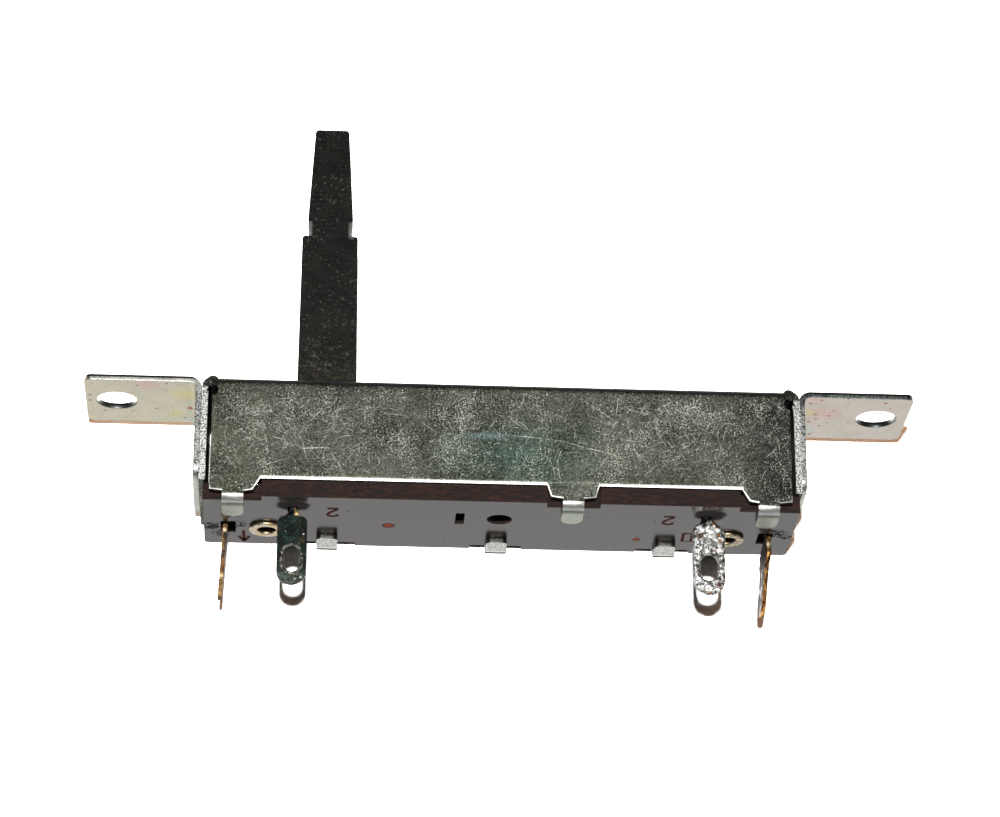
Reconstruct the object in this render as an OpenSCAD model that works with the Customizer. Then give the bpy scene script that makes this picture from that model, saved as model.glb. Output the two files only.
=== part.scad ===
/* [Fixing ears] */
// Distance between the two fixing holes
hole_pitch = 60; // [58:0.5:66]
// Diameter of a fixing hole
hole_d = 3.2; // [2.2:0.1:4]
// Width of an ear across the body
ear_w = 8.1; // [7:0.1:9]
// From a fixing hole's centre to the ear's tip
ear_end = 2.45; // [2.2:0.05:4]
// Corner radius of an ear's tip
ear_corner_r = 0.65; // [0.2:0.05:1.6]
// Sheet thickness of a bracket
bracket_t = 0.5; // [0.4:0.05:0.8]
// Inside radius of a bracket's bend
bracket_bend_r = 0.5; // [0.2:0.05:0.8]
// From the ear's top face down to the bracket's lower edge
bracket_drop = 8.4; // [5:0.1:8.8]
// Corner radius at the bracket's lower edge
plate_corner_r = 1; // [0.2:0.1:2]
// Diameter of a projection weld mark on a bracket
weld_d = 1.2; // [0.8:0.1:1.6]
// Distance between a bracket's two weld marks
weld_pitch = 4; // [3:0.1:5]

/* [Cover] */
// Length over the end flaps
cover_l = 46.5; // [45.5:0.1:50]
// Width over the side walls
cover_w = 10; // [9.8:0.1:12]
// From the board's upper face to the cover's top
cover_h = 8.6; // [8.3:0.1:11]
// How far the cover's top lies under the ears' top faces
cover_drop = 0.3; // [0:0.05:0.8]
// Sheet thickness of the cover
cover_t = 0.5; // [0.4:0.05:0.6]
// Inside radius of the top bends
cover_bend_r = 0.3; // [0.2:0.05:0.5]
// Width of an end flap
flap_w = 9.4; // [9:0.1:9.8]
// Slit between a side wall's end and the end flap
corner_slit = 0.35; // [0.2:0.05:0.6]
// Gap between a side wall's lower edge and the board
wall_gap = 0.12; // [0.08:0.01:0.3]
// Radius of a corner relief cut
relief_r = 0.45; // [0.4:0.05:0.6]
// From the cover's top down to a relief cut's centre
relief_drop = 1.25; // [1.1:0.05:1.4]
// Radius of the swelling over a relief cut
swell_r = 0.47; // [0.4:0.01:0.6]
// How far a swelling stands over the cover's top
swell_rise = 0.12; // [0.05:0.01:0.3]

/* [Feet and tabs] */
// Width of a foot where it leaves the wall
foot_w = 4; // [3.4:0.1:5]
// Width of an outer foot on the near side where it leaves the wall
end_foot_w = 3.85; // [3:0.05:4.5]
// How much narrower a foot is at its lower corner, on one side
foot_taper = 0.28; // [0:0.01:0.5]
// The same at an outer foot on the near side
end_foot_taper = 0.55; // [0:0.05:0.8]
// How far a foot's lower corners reach below the board's upper face
foot_side = 0.85; // [0.5:0.05:0.9]
// How far a foot reaches below the board's upper face at its tab
foot_reach = 0.95; // [0.9:0.05:1]
// Width of a clinch tab
tab_w = 1.65; // [1.2:0.05:2.2]
// From the cover's outer face to a near tab's tip
near_tab_reach = 3; // [2:0.05:3.5]
// From the cover's outer face to a far tab's tip
far_tab_reach = 2.65; // [2:0.05:3.5]
// Corner radius of a far tab's tip
far_tip_r = 0.4; // [0.1:0.05:0.8]
// Inside radius of a near tab's bend
near_bend_r = 0.4; // [0.1:0.05:0.4]
// Inside radius of a far tab's bend
far_bend_r = 0.2; // [0.1:0.05:0.2]
// From the cover's end to a near outer tab's middle
near_tab_in = 2.65; // [2.6:0.05:3.25]
// Place of the near middle tab along the body
mid_tab_x = 5.5; // [3:0.05:9]
// Place of the far outer tabs along the body
far_tab_x = 13.3; // [10:0.1:15]

/* [Base board] */
// How far the board stays inside the cover's length at each end
board_in = 0.25; // [0.05:0.05:0.45]
// Thickness of the board
board_t = 1.4; // [1.2:0.1:1.6]
// How far the board sits off the cover's middle
board_shift = 0.1; // [-0.1:0.05:0.1]
// Corner radius of the board
board_corner_r = 0.5; // [0.1:0.1:1]
// Clearance between a near foot's inner face and its notch
near_notch_clear = 0.4; // [0.4:0.05:0.6]
// Clearance between a far foot's inner face and its notch
far_notch_clear = 0.2; // [0.2:0.05:0.4]
// Clearance between a foot's side and its notch, at the wall's lower edge
notch_side = 0.04; // [0.02:0.01:0.3]
// How far the near middle notch is off its foot's centre
mid_notch_shift = 0.05; // [0:0.01:0.06]
// How far the far outer notches are wider towards the middle
far_notch_extra = 0.2; // [0:0.05:0.4]
// Clearance between an outer foot and its notch's inner end
end_notch_clear = 0.15; // [0.05:0.05:0.4]
// Width of the spare tap slot
tap_slot_w = 0.7; // [0.5:0.05:1]
// Length of the spare tap slot across the body
tap_slot_l = 2.2; // [1.5:0.1:2.6]
// Place of the spare tap slot along the body
tap_slot_x = -3.07; // [-6:0.01:-2]
// Diameter of the spare round hole
spare_hole_d = 1.95; // [1:0.05:2.2]
// Place of the spare slot and hole across the body
spare_y = -1.3; // [-2:0.05:-1]

/* [Terminals] */
// Thickness of the terminal strip
metal_t = 0.35; // [0.3:0.05:0.4]
// Inside radius of a terminal's bend
metal_bend_r = 0.2; // [0.15:0.05:0.3]
// Clearance round a terminal in its slot
slot_clear = 0.2; // [0.1:0.05:0.25]
// Length of a lug below the board
lug_l = 6.1; // [5:0.1:8]
// From the cover's end to an end terminal's pin
pin_in = 2.05; // [1.95:0.05:2.25]
// Diameter of an end terminal's round pad
end_pad_d = 3; // [2.8:0.05:3.2]
// Width of an end terminal
end_strip_w = 1.8; // [1.6:0.1:2.2]
// Width of an end terminal's pin
pin_w = 1; // [0.6:0.1:1.4]
// How far an end terminal keeps its full width below the board
pin_shoulder = 1.5; // [0.8:0.1:2.5]
// Length of the taper from full width to the pin
pin_taper = 0.8; // [0.5:0.1:1.5]
// Length of the left pin below the board
pin_l = 6.05; // [5:0.05:8]
// Length of the right pin below the board
right_pin_l = 6.6; // [5:0.05:8]
// Lean of the left pin away from the middle, in degrees
left_pin_lean = 2.5; // [0:0.5:5]
// Lean of the right pin towards the middle, in degrees
right_pin_lean = 5.5; // [0:0.5:10]
// Turn of the right pin about its own length, in degrees
right_pin_turn = 14; // [0:1:30]

/* [Track and rail] */
// Place of the track across the body
track_y = 1.5; // [1.2:0.05:1.8]
// Width of the carbon track
track_w = 2.2; // [1.6:0.1:2.4]
// Length of the carbon track
track_l = 31.6; // [31:0.1:32.4]
// Thickness of the printed film
film_t = 0.05; // [0.03:0.01:0.08]
// Place of the rail across the body
rail_y = -2.25; // [-2.5:0.05:-2]
// Width of the rail
rail_w = 2; // [1.6:0.1:2.4]
// From the track's end to a wide lug, along the body
lug_gap = 0.2; // [0.1:0.05:0.8]
// Width of a wide lug
lug_w = 2.3; // [2.2:0.1:2.8]
// How far the right lug's blade stands off its neck
lug_shift = 0.15; // [0:0.01:0.2]
// Width of a wide lug's neck
neck_w = 1; // [0.8:0.05:1.2]
// Length of the quarter twist below the board
twist_l = 0.5; // [0.4:0.05:0.8]
// Corner radius at a wide lug's upper end
lug_corner_r = 0.6; // [0.3:0.05:0.65]
// Width of a wide lug's wire hole
wire_hole_w = 1.6; // [1:0.05:1.7]
// Length of a wide lug's wire hole
wire_hole_l = 2.35; // [1.8:0.05:2.6]
// From a wide lug's tip to its wire hole
wire_hole_rim = 0.95; // [0.6:0.05:1.2]
// Thickness of the solder on the right lug
solder_t = 0.1; // [0.08:0.01:0.15]

/* [Eyelets] */
// Place of an eyelet from the track's end to the pin, as a share of that gap
eyelet_share = 0.41; // [0.36:0.01:0.44]
// Outer diameter of an eyelet's shank
eyelet_d = 1.9; // [1.6:0.05:2]
// Diameter of an eyelet's bore
eyelet_bore = 1.45; // [1.2:0.05:1.6]
// Diameter of an eyelet's flanges
flange_d = 2.75; // [2.5:0.05:3]
// Height of an eyelet's flanges
flange_h = 0.28; // [0.2:0.01:0.35]

/* [Slider] */
// Travel of the lever from end to end
travel = 30; // [26:0.5:30]
// Resting place of the lever along the body
lever_rest = -13.6; // [-15:0.1:0]
// Width of the lever at the ears' top faces
lever_base_w = 4.7; // [4:0.05:5.2]
// Width of the lever at its shoulders
lever_top_w = 4.45; // [3.9:0.05:4.7]
// Thickness of the lever
lever_t = 2; // [1.6:0.1:2.2]
// Height of the shoulders over the ears' top faces
shoulder_h = 13.9; // [8:0.1:25]
// Width of the groove's core under the tip
groove_w = 3.45; // [2.8:0.05:3.5]
// Height of the groove under the tip
groove_h = 1.55; // [1:0.05:2]
// Depth of the groove's corner bevels
groove_bevel = 0.3; // [0.2:0.05:0.5]
// Width of the tip at its foot
tip_base_w = 3.6; // [3.5:0.05:3.9]
// Width of the tip at its top
tip_top_w = 2.75; // [2:0.05:3.4]
// Height of the tip over the groove
tip_h = 8; // [4:0.1:12]
// Corner radius of the lever's top
tip_corner_r = 0.3; // [0.1:0.05:0.8]
// Corner radius of the lever's shoulders
shoulder_r = 0.25; // [0.1:0.05:0.3]
// Clearance between the lever and its slot
lever_clear = 0.25; // [0.15:0.05:0.4]
// Corner radius of the slot
slot_corner_r = 0.4; // [0.1:0.05:0.45]
// Length of the slider block
block_l = 13; // [11:0.1:13.4]
// Height of the slider block
block_h = 5.4; // [4.5:0.1:5.8]
// Running clearance between the slider and the cover
run_clear = 0.1; // [0.05:0.01:0.15]
// Bevel at the block's lower ends
block_bevel = 0.5; // [0.2:0.1:0.8]
// Height of the block's runners over its deck
runner_h = 0.5; // [0.4:0.05:0.7]
// Width of a runner
runner_w = 0.7; // [0.4:0.05:0.8]
// Diameter of a staking peg
peg_d = 1; // [0.6:0.05:1.2]
// Diameter of a staked head
peg_head_d = 1.5; // [1.3:0.05:1.8]
// Distance between the two staking pegs
peg_pitch = 5.2; // [4.6:0.1:5.6]

/* [Wiper and spring] */
// Thickness of the wiper sheet
wiper_t = 0.15; // [0.1:0.01:0.25]
// Length of the wiper's plate
wiper_l = 3.4; // [3:0.1:4]
// Width of the wiper's plate
wiper_w = 7.6; // [7.2:0.1:8]
// Width of one wiper finger
finger_w = 0.45; // [0.3:0.05:0.5]
// Gap between two wiper fingers
finger_gap = 0.2; // [0.15:0.05:0.3]
// Running clearance under a wiper finger's tip
finger_clear = 0.04; // [0.02:0.01:0.06]
// Radius of a finger's rounded tip
finger_tip_r = 0.35; // [0.25:0.05:0.45]
// Thickness of the friction spring
spring_t = 0.12; // [0.08:0.01:0.16]
// Length of the friction spring
spring_l = 11.4; // [10:0.1:12]
// Width of the friction spring
spring_w = 6.4; // [5:0.1:6.8]

/* [Hidden] */
$fn = 48;
eps = 0.01;
cut = 20;

// Heights, with zero at the ears' top faces.
cover_top = -cover_drop;
board_top = cover_top - cover_h;
board_low = board_top - board_t;
film_top = board_top + film_t;
roof = cover_top - cover_t;

// Cover.
cover_bend_out = cover_bend_r + cover_t;
flat_half_l = cover_l / 2 - cover_bend_out;
flat_half_w = cover_w / 2 - cover_bend_out;
wall_half_l = cover_l / 2 - cover_t - corner_slit;
near_tab_x = cover_l / 2 - near_tab_in;
inner_half_w = cover_w / 2 - cover_t;
slot_half_l = travel / 2 + lever_base_w / 2 + lever_clear;
slot_w = lever_t + 2 * lever_clear;

// Board.
board_l = cover_l - 2 * board_in;
near_notch_depth = cover_t + near_notch_clear;
far_notch_depth = cover_t + far_notch_clear;
notch_w = foot_w + 2 * notch_side;

// Terminals.
pin_x = cover_l / 2 - pin_in;
lug_x = track_l / 2 + lug_gap;
eyelet_x = track_l / 2 + eyelet_share * (pin_x - track_l / 2);
eyelet_fit = 0.02;
eyelet_hole_d = eyelet_d + 2 * eyelet_fit;
strip_low = film_top;
strip_top = strip_low + metal_t;
rail_top = board_top + metal_t;
rail_half_l = lug_x - metal_t / 2;
blade_top = board_low - twist_l;
blade_low = board_low - lug_l;
pad_end = eyelet_x + flange_d / 2;

// Slider. Its own origin is on the lever's centre line.
deck = roof - run_clear - runner_h;
block_low = deck - block_h;
block_half_w = inner_half_w - run_clear;
wiper_low = block_low - wiper_t;
peg_head_h = 0.35;
peg_fit = 0.02;
spring_fit = 0.1;
wiper_far = block_l / 2 - block_bevel - 0.1;
wiper_near = wiper_far - wiper_l;
peg_x = wiper_near + wiper_l / 2;
finger_pitch = finger_w + finger_gap;

// ---- Shared shapes ----

// A quarter tube of sheet along X, from +Y round to +Z.
module bend_x(length, inner_r, t) {
    rotate([90, 0, 90])
        linear_extrude(length, center = true)
            quarter_ring(inner_r, t);
}

module quarter_ring(inner_r, t) {
    intersection() {
        difference() {
            circle(inner_r + t);
            circle(inner_r);
        }
        square(inner_r + t);
    }
}

// A rectangle from [0, 0] with rounded corners at its far X end.
module round_ended_rect(size, r) {
    square([size.x - r, size.y]);
    translate([0, r])
        square([size.x, size.y - 2 * r]);
    for (y = [r, size.y - r])
        translate([size.x - r, y])
            circle(r);
}

module round_rect(size, r) {
    square([size.x - 2 * r, size.y], center = true);
    square([size.x, size.y - 2 * r], center = true);
    for (x = [-1, 1], y = [-1, 1])
        translate([x * (size.x / 2 - r), y * (size.y / 2 - r)])
            circle(r);
}

// An upright obround, centred.
module obround(w, l) {
    square([w, l - w], center = true);
    for (s = [-1, 1])
        translate([0, s * (l - w) / 2])
            circle(w / 2);
}

module mirrored_x() {
    children();
    mirror([1, 0, 0])
        children();
}

module mirrored_y() {
    children();
    mirror([0, 1, 0])
        children();
}

// ---- Cover ----

module cover() {
    color([0.42, 0.43, 0.39])
        difference() {
            union() {
                cover_roof();
                mirrored_y()
                    cover_side();
                mirrored_x()
                    end_flap();
                mirrored_x()
                    translate([near_tab_x, 0, 0])
                        near_foot_and_tab(wall_half_l - end_foot_w - near_tab_x,
                            wall_half_l - near_tab_x, end_foot_taper, 0);
                translate([mid_tab_x, 0, 0])
                    near_foot_and_tab(-foot_w / 2, foot_w / 2, foot_taper, foot_taper);
                for (x = [-far_tab_x, 0, far_tab_x])
                    translate([x, 0, 0])
                        far_foot_and_tab();
                mirrored_x()
                    mirrored_y()
                        corner_swell();
            }
            mirrored_x()
                mirrored_y()
                    corner_relief();
            lever_slot();
        }
}

module cover_roof() {
    translate([-flat_half_l, -flat_half_w, roof])
        cube([2 * flat_half_l, 2 * flat_half_w, cover_t]);
}

module cover_side() {
    wall_low = board_top + wall_gap;
    translate([0, flat_half_w, cover_top - cover_bend_out])
        bend_x(2 * wall_half_l, cover_bend_r, cover_t);
    translate([-wall_half_l, inner_half_w, wall_low])
        cube([2 * wall_half_l, cover_t, cover_top - cover_bend_out - wall_low]);
}

module end_flap() {
    bend_z = cover_top - cover_bend_out;
    translate([flat_half_l, 0, bend_z])
        rotate([0, 0, -90])
            bend_x(flap_w, cover_bend_r, cover_t);
    translate([cover_l / 2 - cover_t, -flap_w / 2, board_top])
        cube([cover_t, flap_w, bend_z - board_top]);
}

// A foot in the near wall from x0 to x1, with its tab clinched under the board.
module near_foot_and_tab(x0, x1, taper0, taper1) {
    foot()
        foot_outline(x0, x1, taper0, taper1, near_bend_r);
    clinched_tab(near_bend_r)
        tab_outline(near_tab_reach - near_bend_r - cover_t, tab_w / 2);
}

module far_foot_and_tab() {
    mirror([0, 1, 0]) {
        foot()
            foot_outline(-foot_w / 2, foot_w / 2, foot_taper, foot_taper, far_bend_r);
        clinched_tab(far_bend_r)
            tab_outline(far_tab_reach - far_bend_r - cover_t, far_tip_r);
    }
}

module foot() {
    translate([0, -inner_half_w, 0])
        rotate([90, 0, 0])
            linear_extrude(cover_t)
                children();
}

module clinched_tab(bend_r) {
    tab_flat_y = cover_w / 2 - bend_r - cover_t;
    translate([0, -tab_flat_y, board_low + bend_r])
        mirror([0, 1, 0])
            mirror([0, 0, 1])
                bend_x(tab_w, bend_r, cover_t);
    translate([0, -tab_flat_y, board_low - cover_t])
        linear_extrude(cover_t)
            children();
}

// A foot's outline, narrower below by a taper on each side.
module foot_outline(x0, x1, taper0, taper1, bend_r) {
    side_low = board_top - foot_side;
    shoulder_low = board_top - foot_reach;
    tab_low = board_low + bend_r;
    wall_low = board_top + wall_gap;
    polygon([
        [x0, wall_low], [x0 + taper0, side_low],
        [-tab_w / 2, shoulder_low], [-tab_w / 2, tab_low],
        [tab_w / 2, tab_low], [tab_w / 2, shoulder_low],
        [x1 - taper1, side_low], [x1, wall_low]
    ]);
}

// A tab with rounded corners at its tip, which points along +Y.
module tab_outline(length, r) {
    translate([-tab_w / 2, 0])
        square([tab_w, length - r]);
    if (r < tab_w / 2)
        translate([r - tab_w / 2, 0])
            square([tab_w - 2 * r, length]);
    for (s = [-1, 1])
        translate([s * (tab_w / 2 - r), length - r])
            circle(r);
}

module corner_relief() {
    translate([wall_half_l, cover_w / 2 - cover_t / 2, cover_top - relief_drop])
        rotate([90, 0, 0])
            cylinder(r = relief_r, h = 2 * cover_t, center = true);
}

// Metal pushed up beside the relief cut when the corner is folded.
module corner_swell() {
    translate([wall_half_l, flat_half_w, cover_top + swell_rise - swell_r])
        rotate([-90, 0, 0])
            cylinder(r = swell_r, h = cover_t);
}

module lever_slot() {
    translate([0, 0, roof - eps])
        linear_extrude(cover_t + 2 * eps)
            round_rect([2 * slot_half_l, slot_w], slot_corner_r);
}

// ---- Brackets ----

module ear_bracket() {
    plate_x = cover_l / 2;
    bend_out = bracket_bend_r + bracket_t;
    ear_x = plate_x + bend_out;
    color([0.80, 0.78, 0.68])
        difference() {
            union() {
                translate([ear_x, -ear_w / 2, -bracket_t])
                    linear_extrude(bracket_t)
                        round_ended_rect([hole_pitch / 2 + ear_end - ear_x, ear_w], ear_corner_r);
                translate([ear_x, 0, -bend_out])
                    rotate([0, 0, 90])
                        bend_x(ear_w, bracket_bend_r, bracket_t);
                translate([plate_x, -ear_w / 2, -bend_out])
                    rotate([0, 90, 0])
                        linear_extrude(bracket_t)
                            round_ended_rect([bracket_drop - bend_out, ear_w], plate_corner_r);
            }
            translate([hole_pitch / 2, 0, 0])
                cylinder(d = hole_d, h = 4 * bracket_t, center = true);
            mirrored_y()
                translate([plate_x + bracket_t, weld_pitch / 2, -bracket_drop * 0.6])
                    rotate([0, 90, 0])
                        cylinder(d = weld_d, h = bracket_t / 2, center = true);
        }
}

module ear_bracket_left() {
    mirror([1, 0, 0])
        ear_bracket();
}

module ear_bracket_right() {
    ear_bracket();
}

// ---- Board ----

module base_board() {
    color([0.36, 0.22, 0.19])
        translate([0, 0, board_low])
            linear_extrude(board_t)
                difference() {
                    translate([board_shift, 0])
                        round_rect([board_l, cover_w], board_corner_r);
                    board_notches();
                    board_holes();
                }
}

module board_notches() {
    near_y = -cover_w / 2 - eps;
    far_y = cover_w / 2 - far_notch_depth;
    far_w = notch_w + far_notch_extra;
    mirrored_x() {
        translate([wall_half_l - end_foot_w - end_notch_clear, near_y])
            square([board_l, near_notch_depth + eps]);
        translate([far_tab_x + notch_w / 2 - far_w, far_y])
            square([far_w, far_notch_depth + eps]);
    }
    translate([mid_tab_x + mid_notch_shift - notch_w / 2, near_y])
        square([notch_w, near_notch_depth + eps]);
    translate([-notch_w / 2, far_y])
        square([notch_w, far_notch_depth + eps]);
}

module board_holes() {
    pin_slot = [metal_t + 4 * slot_clear, end_strip_w + 2 * slot_clear];
    neck_slot = [metal_t + 2 * slot_clear, neck_w + 2 * slot_clear];
    for (s = [-1, 1]) {
        translate([s * (pin_x - slot_clear), track_y])
            square(pin_slot, center = true);
        translate([s * lug_x, rail_y])
            square(neck_slot, center = true);
        translate([s * eyelet_x, track_y])
            circle(d = eyelet_hole_d);
    }
    translate([tap_slot_x, spare_y])
        square([tap_slot_w, tap_slot_l], center = true);
    translate([0, spare_y])
        circle(d = spare_hole_d);
}

// ---- Track ----

module carbon_track() {
    color([0.08, 0.08, 0.09])
        translate([-track_l / 2, track_y - track_w / 2, board_top])
            cube([track_l, track_w, film_t]);
}

module track_pad() {
    color([0.75, 0.75, 0.72])
        translate([0, track_y, board_top])
            linear_extrude(film_t)
                difference() {
                    translate([track_l / 2, -track_w / 2])
                        round_ended_rect([pad_end - track_l / 2, track_w], 0.5);
                    translate([eyelet_x, 0])
                        circle(d = eyelet_hole_d);
                }
}

module track_pad_left() {
    mirror([1, 0, 0])
        track_pad();
}

module track_pad_right() {
    track_pad();
}

// ---- Terminals ----

// A strip from its eyelet pad to its pin, on the right-hand side.
module end_terminal(lean, turn, length) {
    bend_out = metal_bend_r + metal_t;
    bend_x0 = pin_x + metal_t / 2 - bend_out;
    translate([eyelet_x, track_y, strip_low])
        linear_extrude(metal_t)
            difference() {
                union() {
                    circle(d = end_pad_d);
                    translate([0, -end_strip_w / 2])
                        square([bend_x0 - eyelet_x, end_strip_w]);
                }
                circle(d = eyelet_hole_d);
            }
    translate([bend_x0, track_y, strip_top - bend_out])
        rotate([0, 0, -90])
            bend_x(end_strip_w, metal_bend_r, metal_t);
    translate([pin_x - metal_t / 2, track_y - end_strip_w / 2, board_low])
        cube([metal_t, end_strip_w, strip_top - bend_out - board_low]);
    translate([pin_x, track_y, board_low])
        rotate([0, lean, 0]) {
            mirror([0, 0, 1])
                twisted_strip([metal_t, end_strip_w], pin_shoulder, -turn);
            translate([0, 0, -pin_shoulder])
                rotate([0, 0, turn])
                    end_pin(length - pin_shoulder);
        }
}

// A short strip along +Z that turns about its own middle.
module twisted_strip(size, length, turn) {
    if (turn == 0)
        translate([-size.x / 2, -size.y / 2, 0])
            cube([size.x, size.y, length]);
    else
        linear_extrude(length, twist = turn, slices = 8, segments = 4)
            square(size, center = true);
}

// The pin below its shoulders, hanging from the origin.
module end_pin(length) {
    tip_taper = 0.6;
    rotate([90, 0, 90])
        linear_extrude(metal_t, center = true)
            polygon([
                [-end_strip_w / 2, 0], [-pin_w / 2, -pin_taper],
                [-pin_w / 2, tip_taper - length], [-pin_w / 4, -length],
                [pin_w / 4, -length], [pin_w / 2, tip_taper - length],
                [pin_w / 2, -pin_taper], [end_strip_w / 2, 0]
            ]);
}

module end_terminal_left() {
    color([0.72, 0.55, 0.22])
        mirror([1, 0, 0])
            end_terminal(-left_pin_lean, 0, pin_l);
}

module end_terminal_right() {
    color([0.72, 0.55, 0.22])
        end_terminal(right_pin_lean, right_pin_turn, right_pin_l);
}

module collector_rail() {
    color([0.55, 0.45, 0.22]) {
        bend_out = metal_bend_r + metal_t;
        flat_half_l = rail_half_l + metal_t - bend_out;
        translate([-flat_half_l, rail_y - rail_w / 2, board_top])
            cube([2 * flat_half_l, rail_w, metal_t]);
        mirrored_x() {
            translate([flat_half_l, rail_y, rail_top - bend_out])
                rotate([0, 0, -90])
                    bend_x(neck_w, metal_bend_r, metal_t);
            translate([rail_half_l, rail_y - neck_w / 2, board_low])
                cube([metal_t, neck_w, rail_top - bend_out - board_low]);
            translate([lug_x, rail_y, board_low])
                mirror([0, 0, 1])
                    twisted_strip([metal_t, neck_w], twist_l, 90);
        }
        for (x = [-lug_x, lug_x + lug_shift])
            translate([x, rail_y, blade_top])
                lug_blade();
    }
}

module lug_blade() {
    rotate([90, 0, 0])
        linear_extrude(metal_t, center = true)
            difference() {
                blade_outline();
                translate([0, hole_centre()])
                    obround(wire_hole_w, wire_hole_l);
            }
}

// The wide lug's outline below its twist, with its top edge at zero.
module blade_outline(grow = 0) {
    tip_y = blade_low - blade_top + lug_w / 2;
    corner_x = lug_w / 2 - lug_corner_r;
    side = lug_w / 2 + grow;
    for (s = [-1, 1])
        translate([s * corner_x, -lug_corner_r])
            circle(lug_corner_r + grow);
    translate([-corner_x, -lug_corner_r])
        square([2 * corner_x, lug_corner_r + grow]);
    translate([-side, tip_y])
        square([2 * side, -lug_corner_r - tip_y]);
    translate([0, tip_y])
        circle(side);
}

function hole_centre() = blade_low - blade_top + wire_hole_rim + wire_hole_l / 2;

// Solder that coats the right lug from its neck to its tip.
module lug_solder() {
    color([0.78, 0.78, 0.76])
        translate([lug_x + lug_shift, rail_y, blade_top])
            rotate([90, 0, 0])
                difference() {
                    linear_extrude(metal_t + 2 * solder_t, center = true)
                        difference() {
                            solder_outline();
                            translate([0, hole_centre()])
                                obround(wire_hole_w - 2 * solder_t, wire_hole_l - 2 * solder_t);
                        }
                    linear_extrude(metal_t, center = true)
                        difference() {
                            blade_outline();
                            translate([0, hole_centre()])
                                obround(wire_hole_w, wire_hole_l);
                        }
                }
}

// The solder's outline. It starts at the lug's upper end.
module solder_outline() {
    intersection() {
        blade_outline(solder_t);
        translate([-lug_w, -lug_l])
            square([2 * lug_w, lug_l]);
    }
}

// ---- Eyelets ----

// A hollow rivet through the board and the end strip, on its own axis.
module eyelet() {
    color([0.80, 0.76, 0.62])
        translate([eyelet_x, track_y, 0])
            rotate_extrude() {
                translate([eyelet_bore / 2, board_low - flange_h / 2])
                    square([(eyelet_d - eyelet_bore) / 2, strip_top - board_low + flange_h]);
                flange_section(board_low - flange_h / 2);
                flange_section(strip_top + flange_h / 2);
            }
}

// A flange's section: a rolled rim from the bore to the edge.
module flange_section(mid_z) {
    translate([(flange_d + eyelet_bore) / 4, mid_z])
        rotate(90)
            obround(flange_h, (flange_d - eyelet_bore) / 2);
}

module eyelet_left() {
    mirror([1, 0, 0])
        eyelet();
}

module eyelet_right() {
    eyelet();
}

// ---- Slider ----

module slider_lever() {
    color([0.10, 0.11, 0.10])
        translate([lever_rest, 0, 0]) {
            slider_block();
            lever_blade();
            staking_pegs();
        }
}

module slider_block() {
    translate([0, block_half_w, 0])
        rotate([90, 0, 0])
            linear_extrude(2 * block_half_w)
                polygon([
                    [-block_l / 2, deck], [-block_l / 2, block_low + block_bevel],
                    [block_bevel - block_l / 2, block_low], [block_l / 2 - block_bevel, block_low],
                    [block_l / 2, block_low + block_bevel], [block_l / 2, deck]
                ]);
    mirrored_y()
        translate([-block_l / 2, block_half_w - runner_w, deck])
            cube([block_l, runner_w, runner_h]);
}

module lever_blade() {
    bevel_side = groove_bevel * sqrt(2);
    translate([0, lever_t / 2, 0])
        rotate([90, 0, 0])
            difference() {
                linear_extrude(lever_t)
                    lever_outline();
                for (x = [-1, 1], z = [0, lever_t])
                    translate([x * groove_w / 2, shoulder_h, z])
                        rotate([-90, 45, 0])
                            translate([0, 0, groove_h / 2])
                                cube([bevel_side, bevel_side, groove_h], center = true);
            }
}

module lever_outline() {
    groove_top = shoulder_h + groove_h;
    lever_top = groove_top + tip_h;
    flare = 0.55;
    right = concat(
        [[lever_base_w / 2, deck - eps], [lever_base_w / 2, 0]],
        corner_arc([lever_top_w / 2 - shoulder_r, shoulder_h - shoulder_r], shoulder_r),
        [[groove_w / 2, shoulder_h], [groove_w / 2, groove_top - flare], [tip_base_w / 2, groove_top]],
        corner_arc([tip_top_w / 2 - tip_corner_r, lever_top - tip_corner_r], tip_corner_r)
    );
    last = len(right) - 1;
    polygon(concat(right, [for (i = [last : -1 : 0]) [-right[i].x, right[i].y]]));
}

// Points of a quarter circle from +X round to +Y.
function corner_arc(centre, r) = [for (i = [0 : 6]) centre + r * [cos(15 * i), sin(15 * i)]];

module staking_pegs() {
    mirrored_y()
        translate([peg_x, peg_pitch / 2, 0]) {
            translate([0, 0, wiper_low - eps])
                cylinder(d = peg_d, h = 3 * wiper_t);
            translate([0, 0, wiper_low - peg_head_h])
                cylinder(d = peg_head_d, h = peg_head_h);
        }
}

module wiper_contact() {
    color([0.76, 0.52, 0.28])
        translate([lever_rest, 0, 0]) {
            difference() {
                translate([wiper_near, -wiper_w / 2, wiper_low])
                    cube([wiper_l, wiper_w, wiper_t]);
                mirrored_y()
                    translate([peg_x, peg_pitch / 2, wiper_low])
                        cylinder(d = peg_d + 2 * peg_fit, h = 3 * wiper_t, center = true);
            }
            for (i = [-1, 0, 1])
                translate([0, track_y + i * finger_pitch, 0])
                    wiper_finger(film_top + finger_clear);
            for (i = [-0.5, 0.5])
                translate([0, rail_y + i * finger_pitch, 0])
                    wiper_finger(rail_top + finger_clear);
        }
}

// One finger that slopes down from the plate's edge to a rounded tip.
module wiper_finger(touch_z) {
    tip_z = touch_z + finger_tip_r;
    steps = 8;
    turn = 90;
    fall = wiper_low - tip_z + finger_tip_r;
    slope = atan2(fall, wiper_near);
    arc = [for (i = [0 : steps]) -90 + slope - i * turn / steps];
    outer = [for (a = arc) [finger_tip_r * cos(a), tip_z + finger_tip_r * sin(a)]];
    inner_r = finger_tip_r - wiper_t;
    inner = [for (i = [steps : -1 : 0]) [inner_r * cos(arc[i]), tip_z + inner_r * sin(arc[i])]];
    translate([0, finger_w / 2, 0])
        rotate([90, 0, 0])
            linear_extrude(finger_w)
                polygon(concat(
                    [[wiper_near + wiper_t, wiper_low + wiper_t], [wiper_near + wiper_t, wiper_low]],
                    outer, inner
                ));
}

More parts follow.
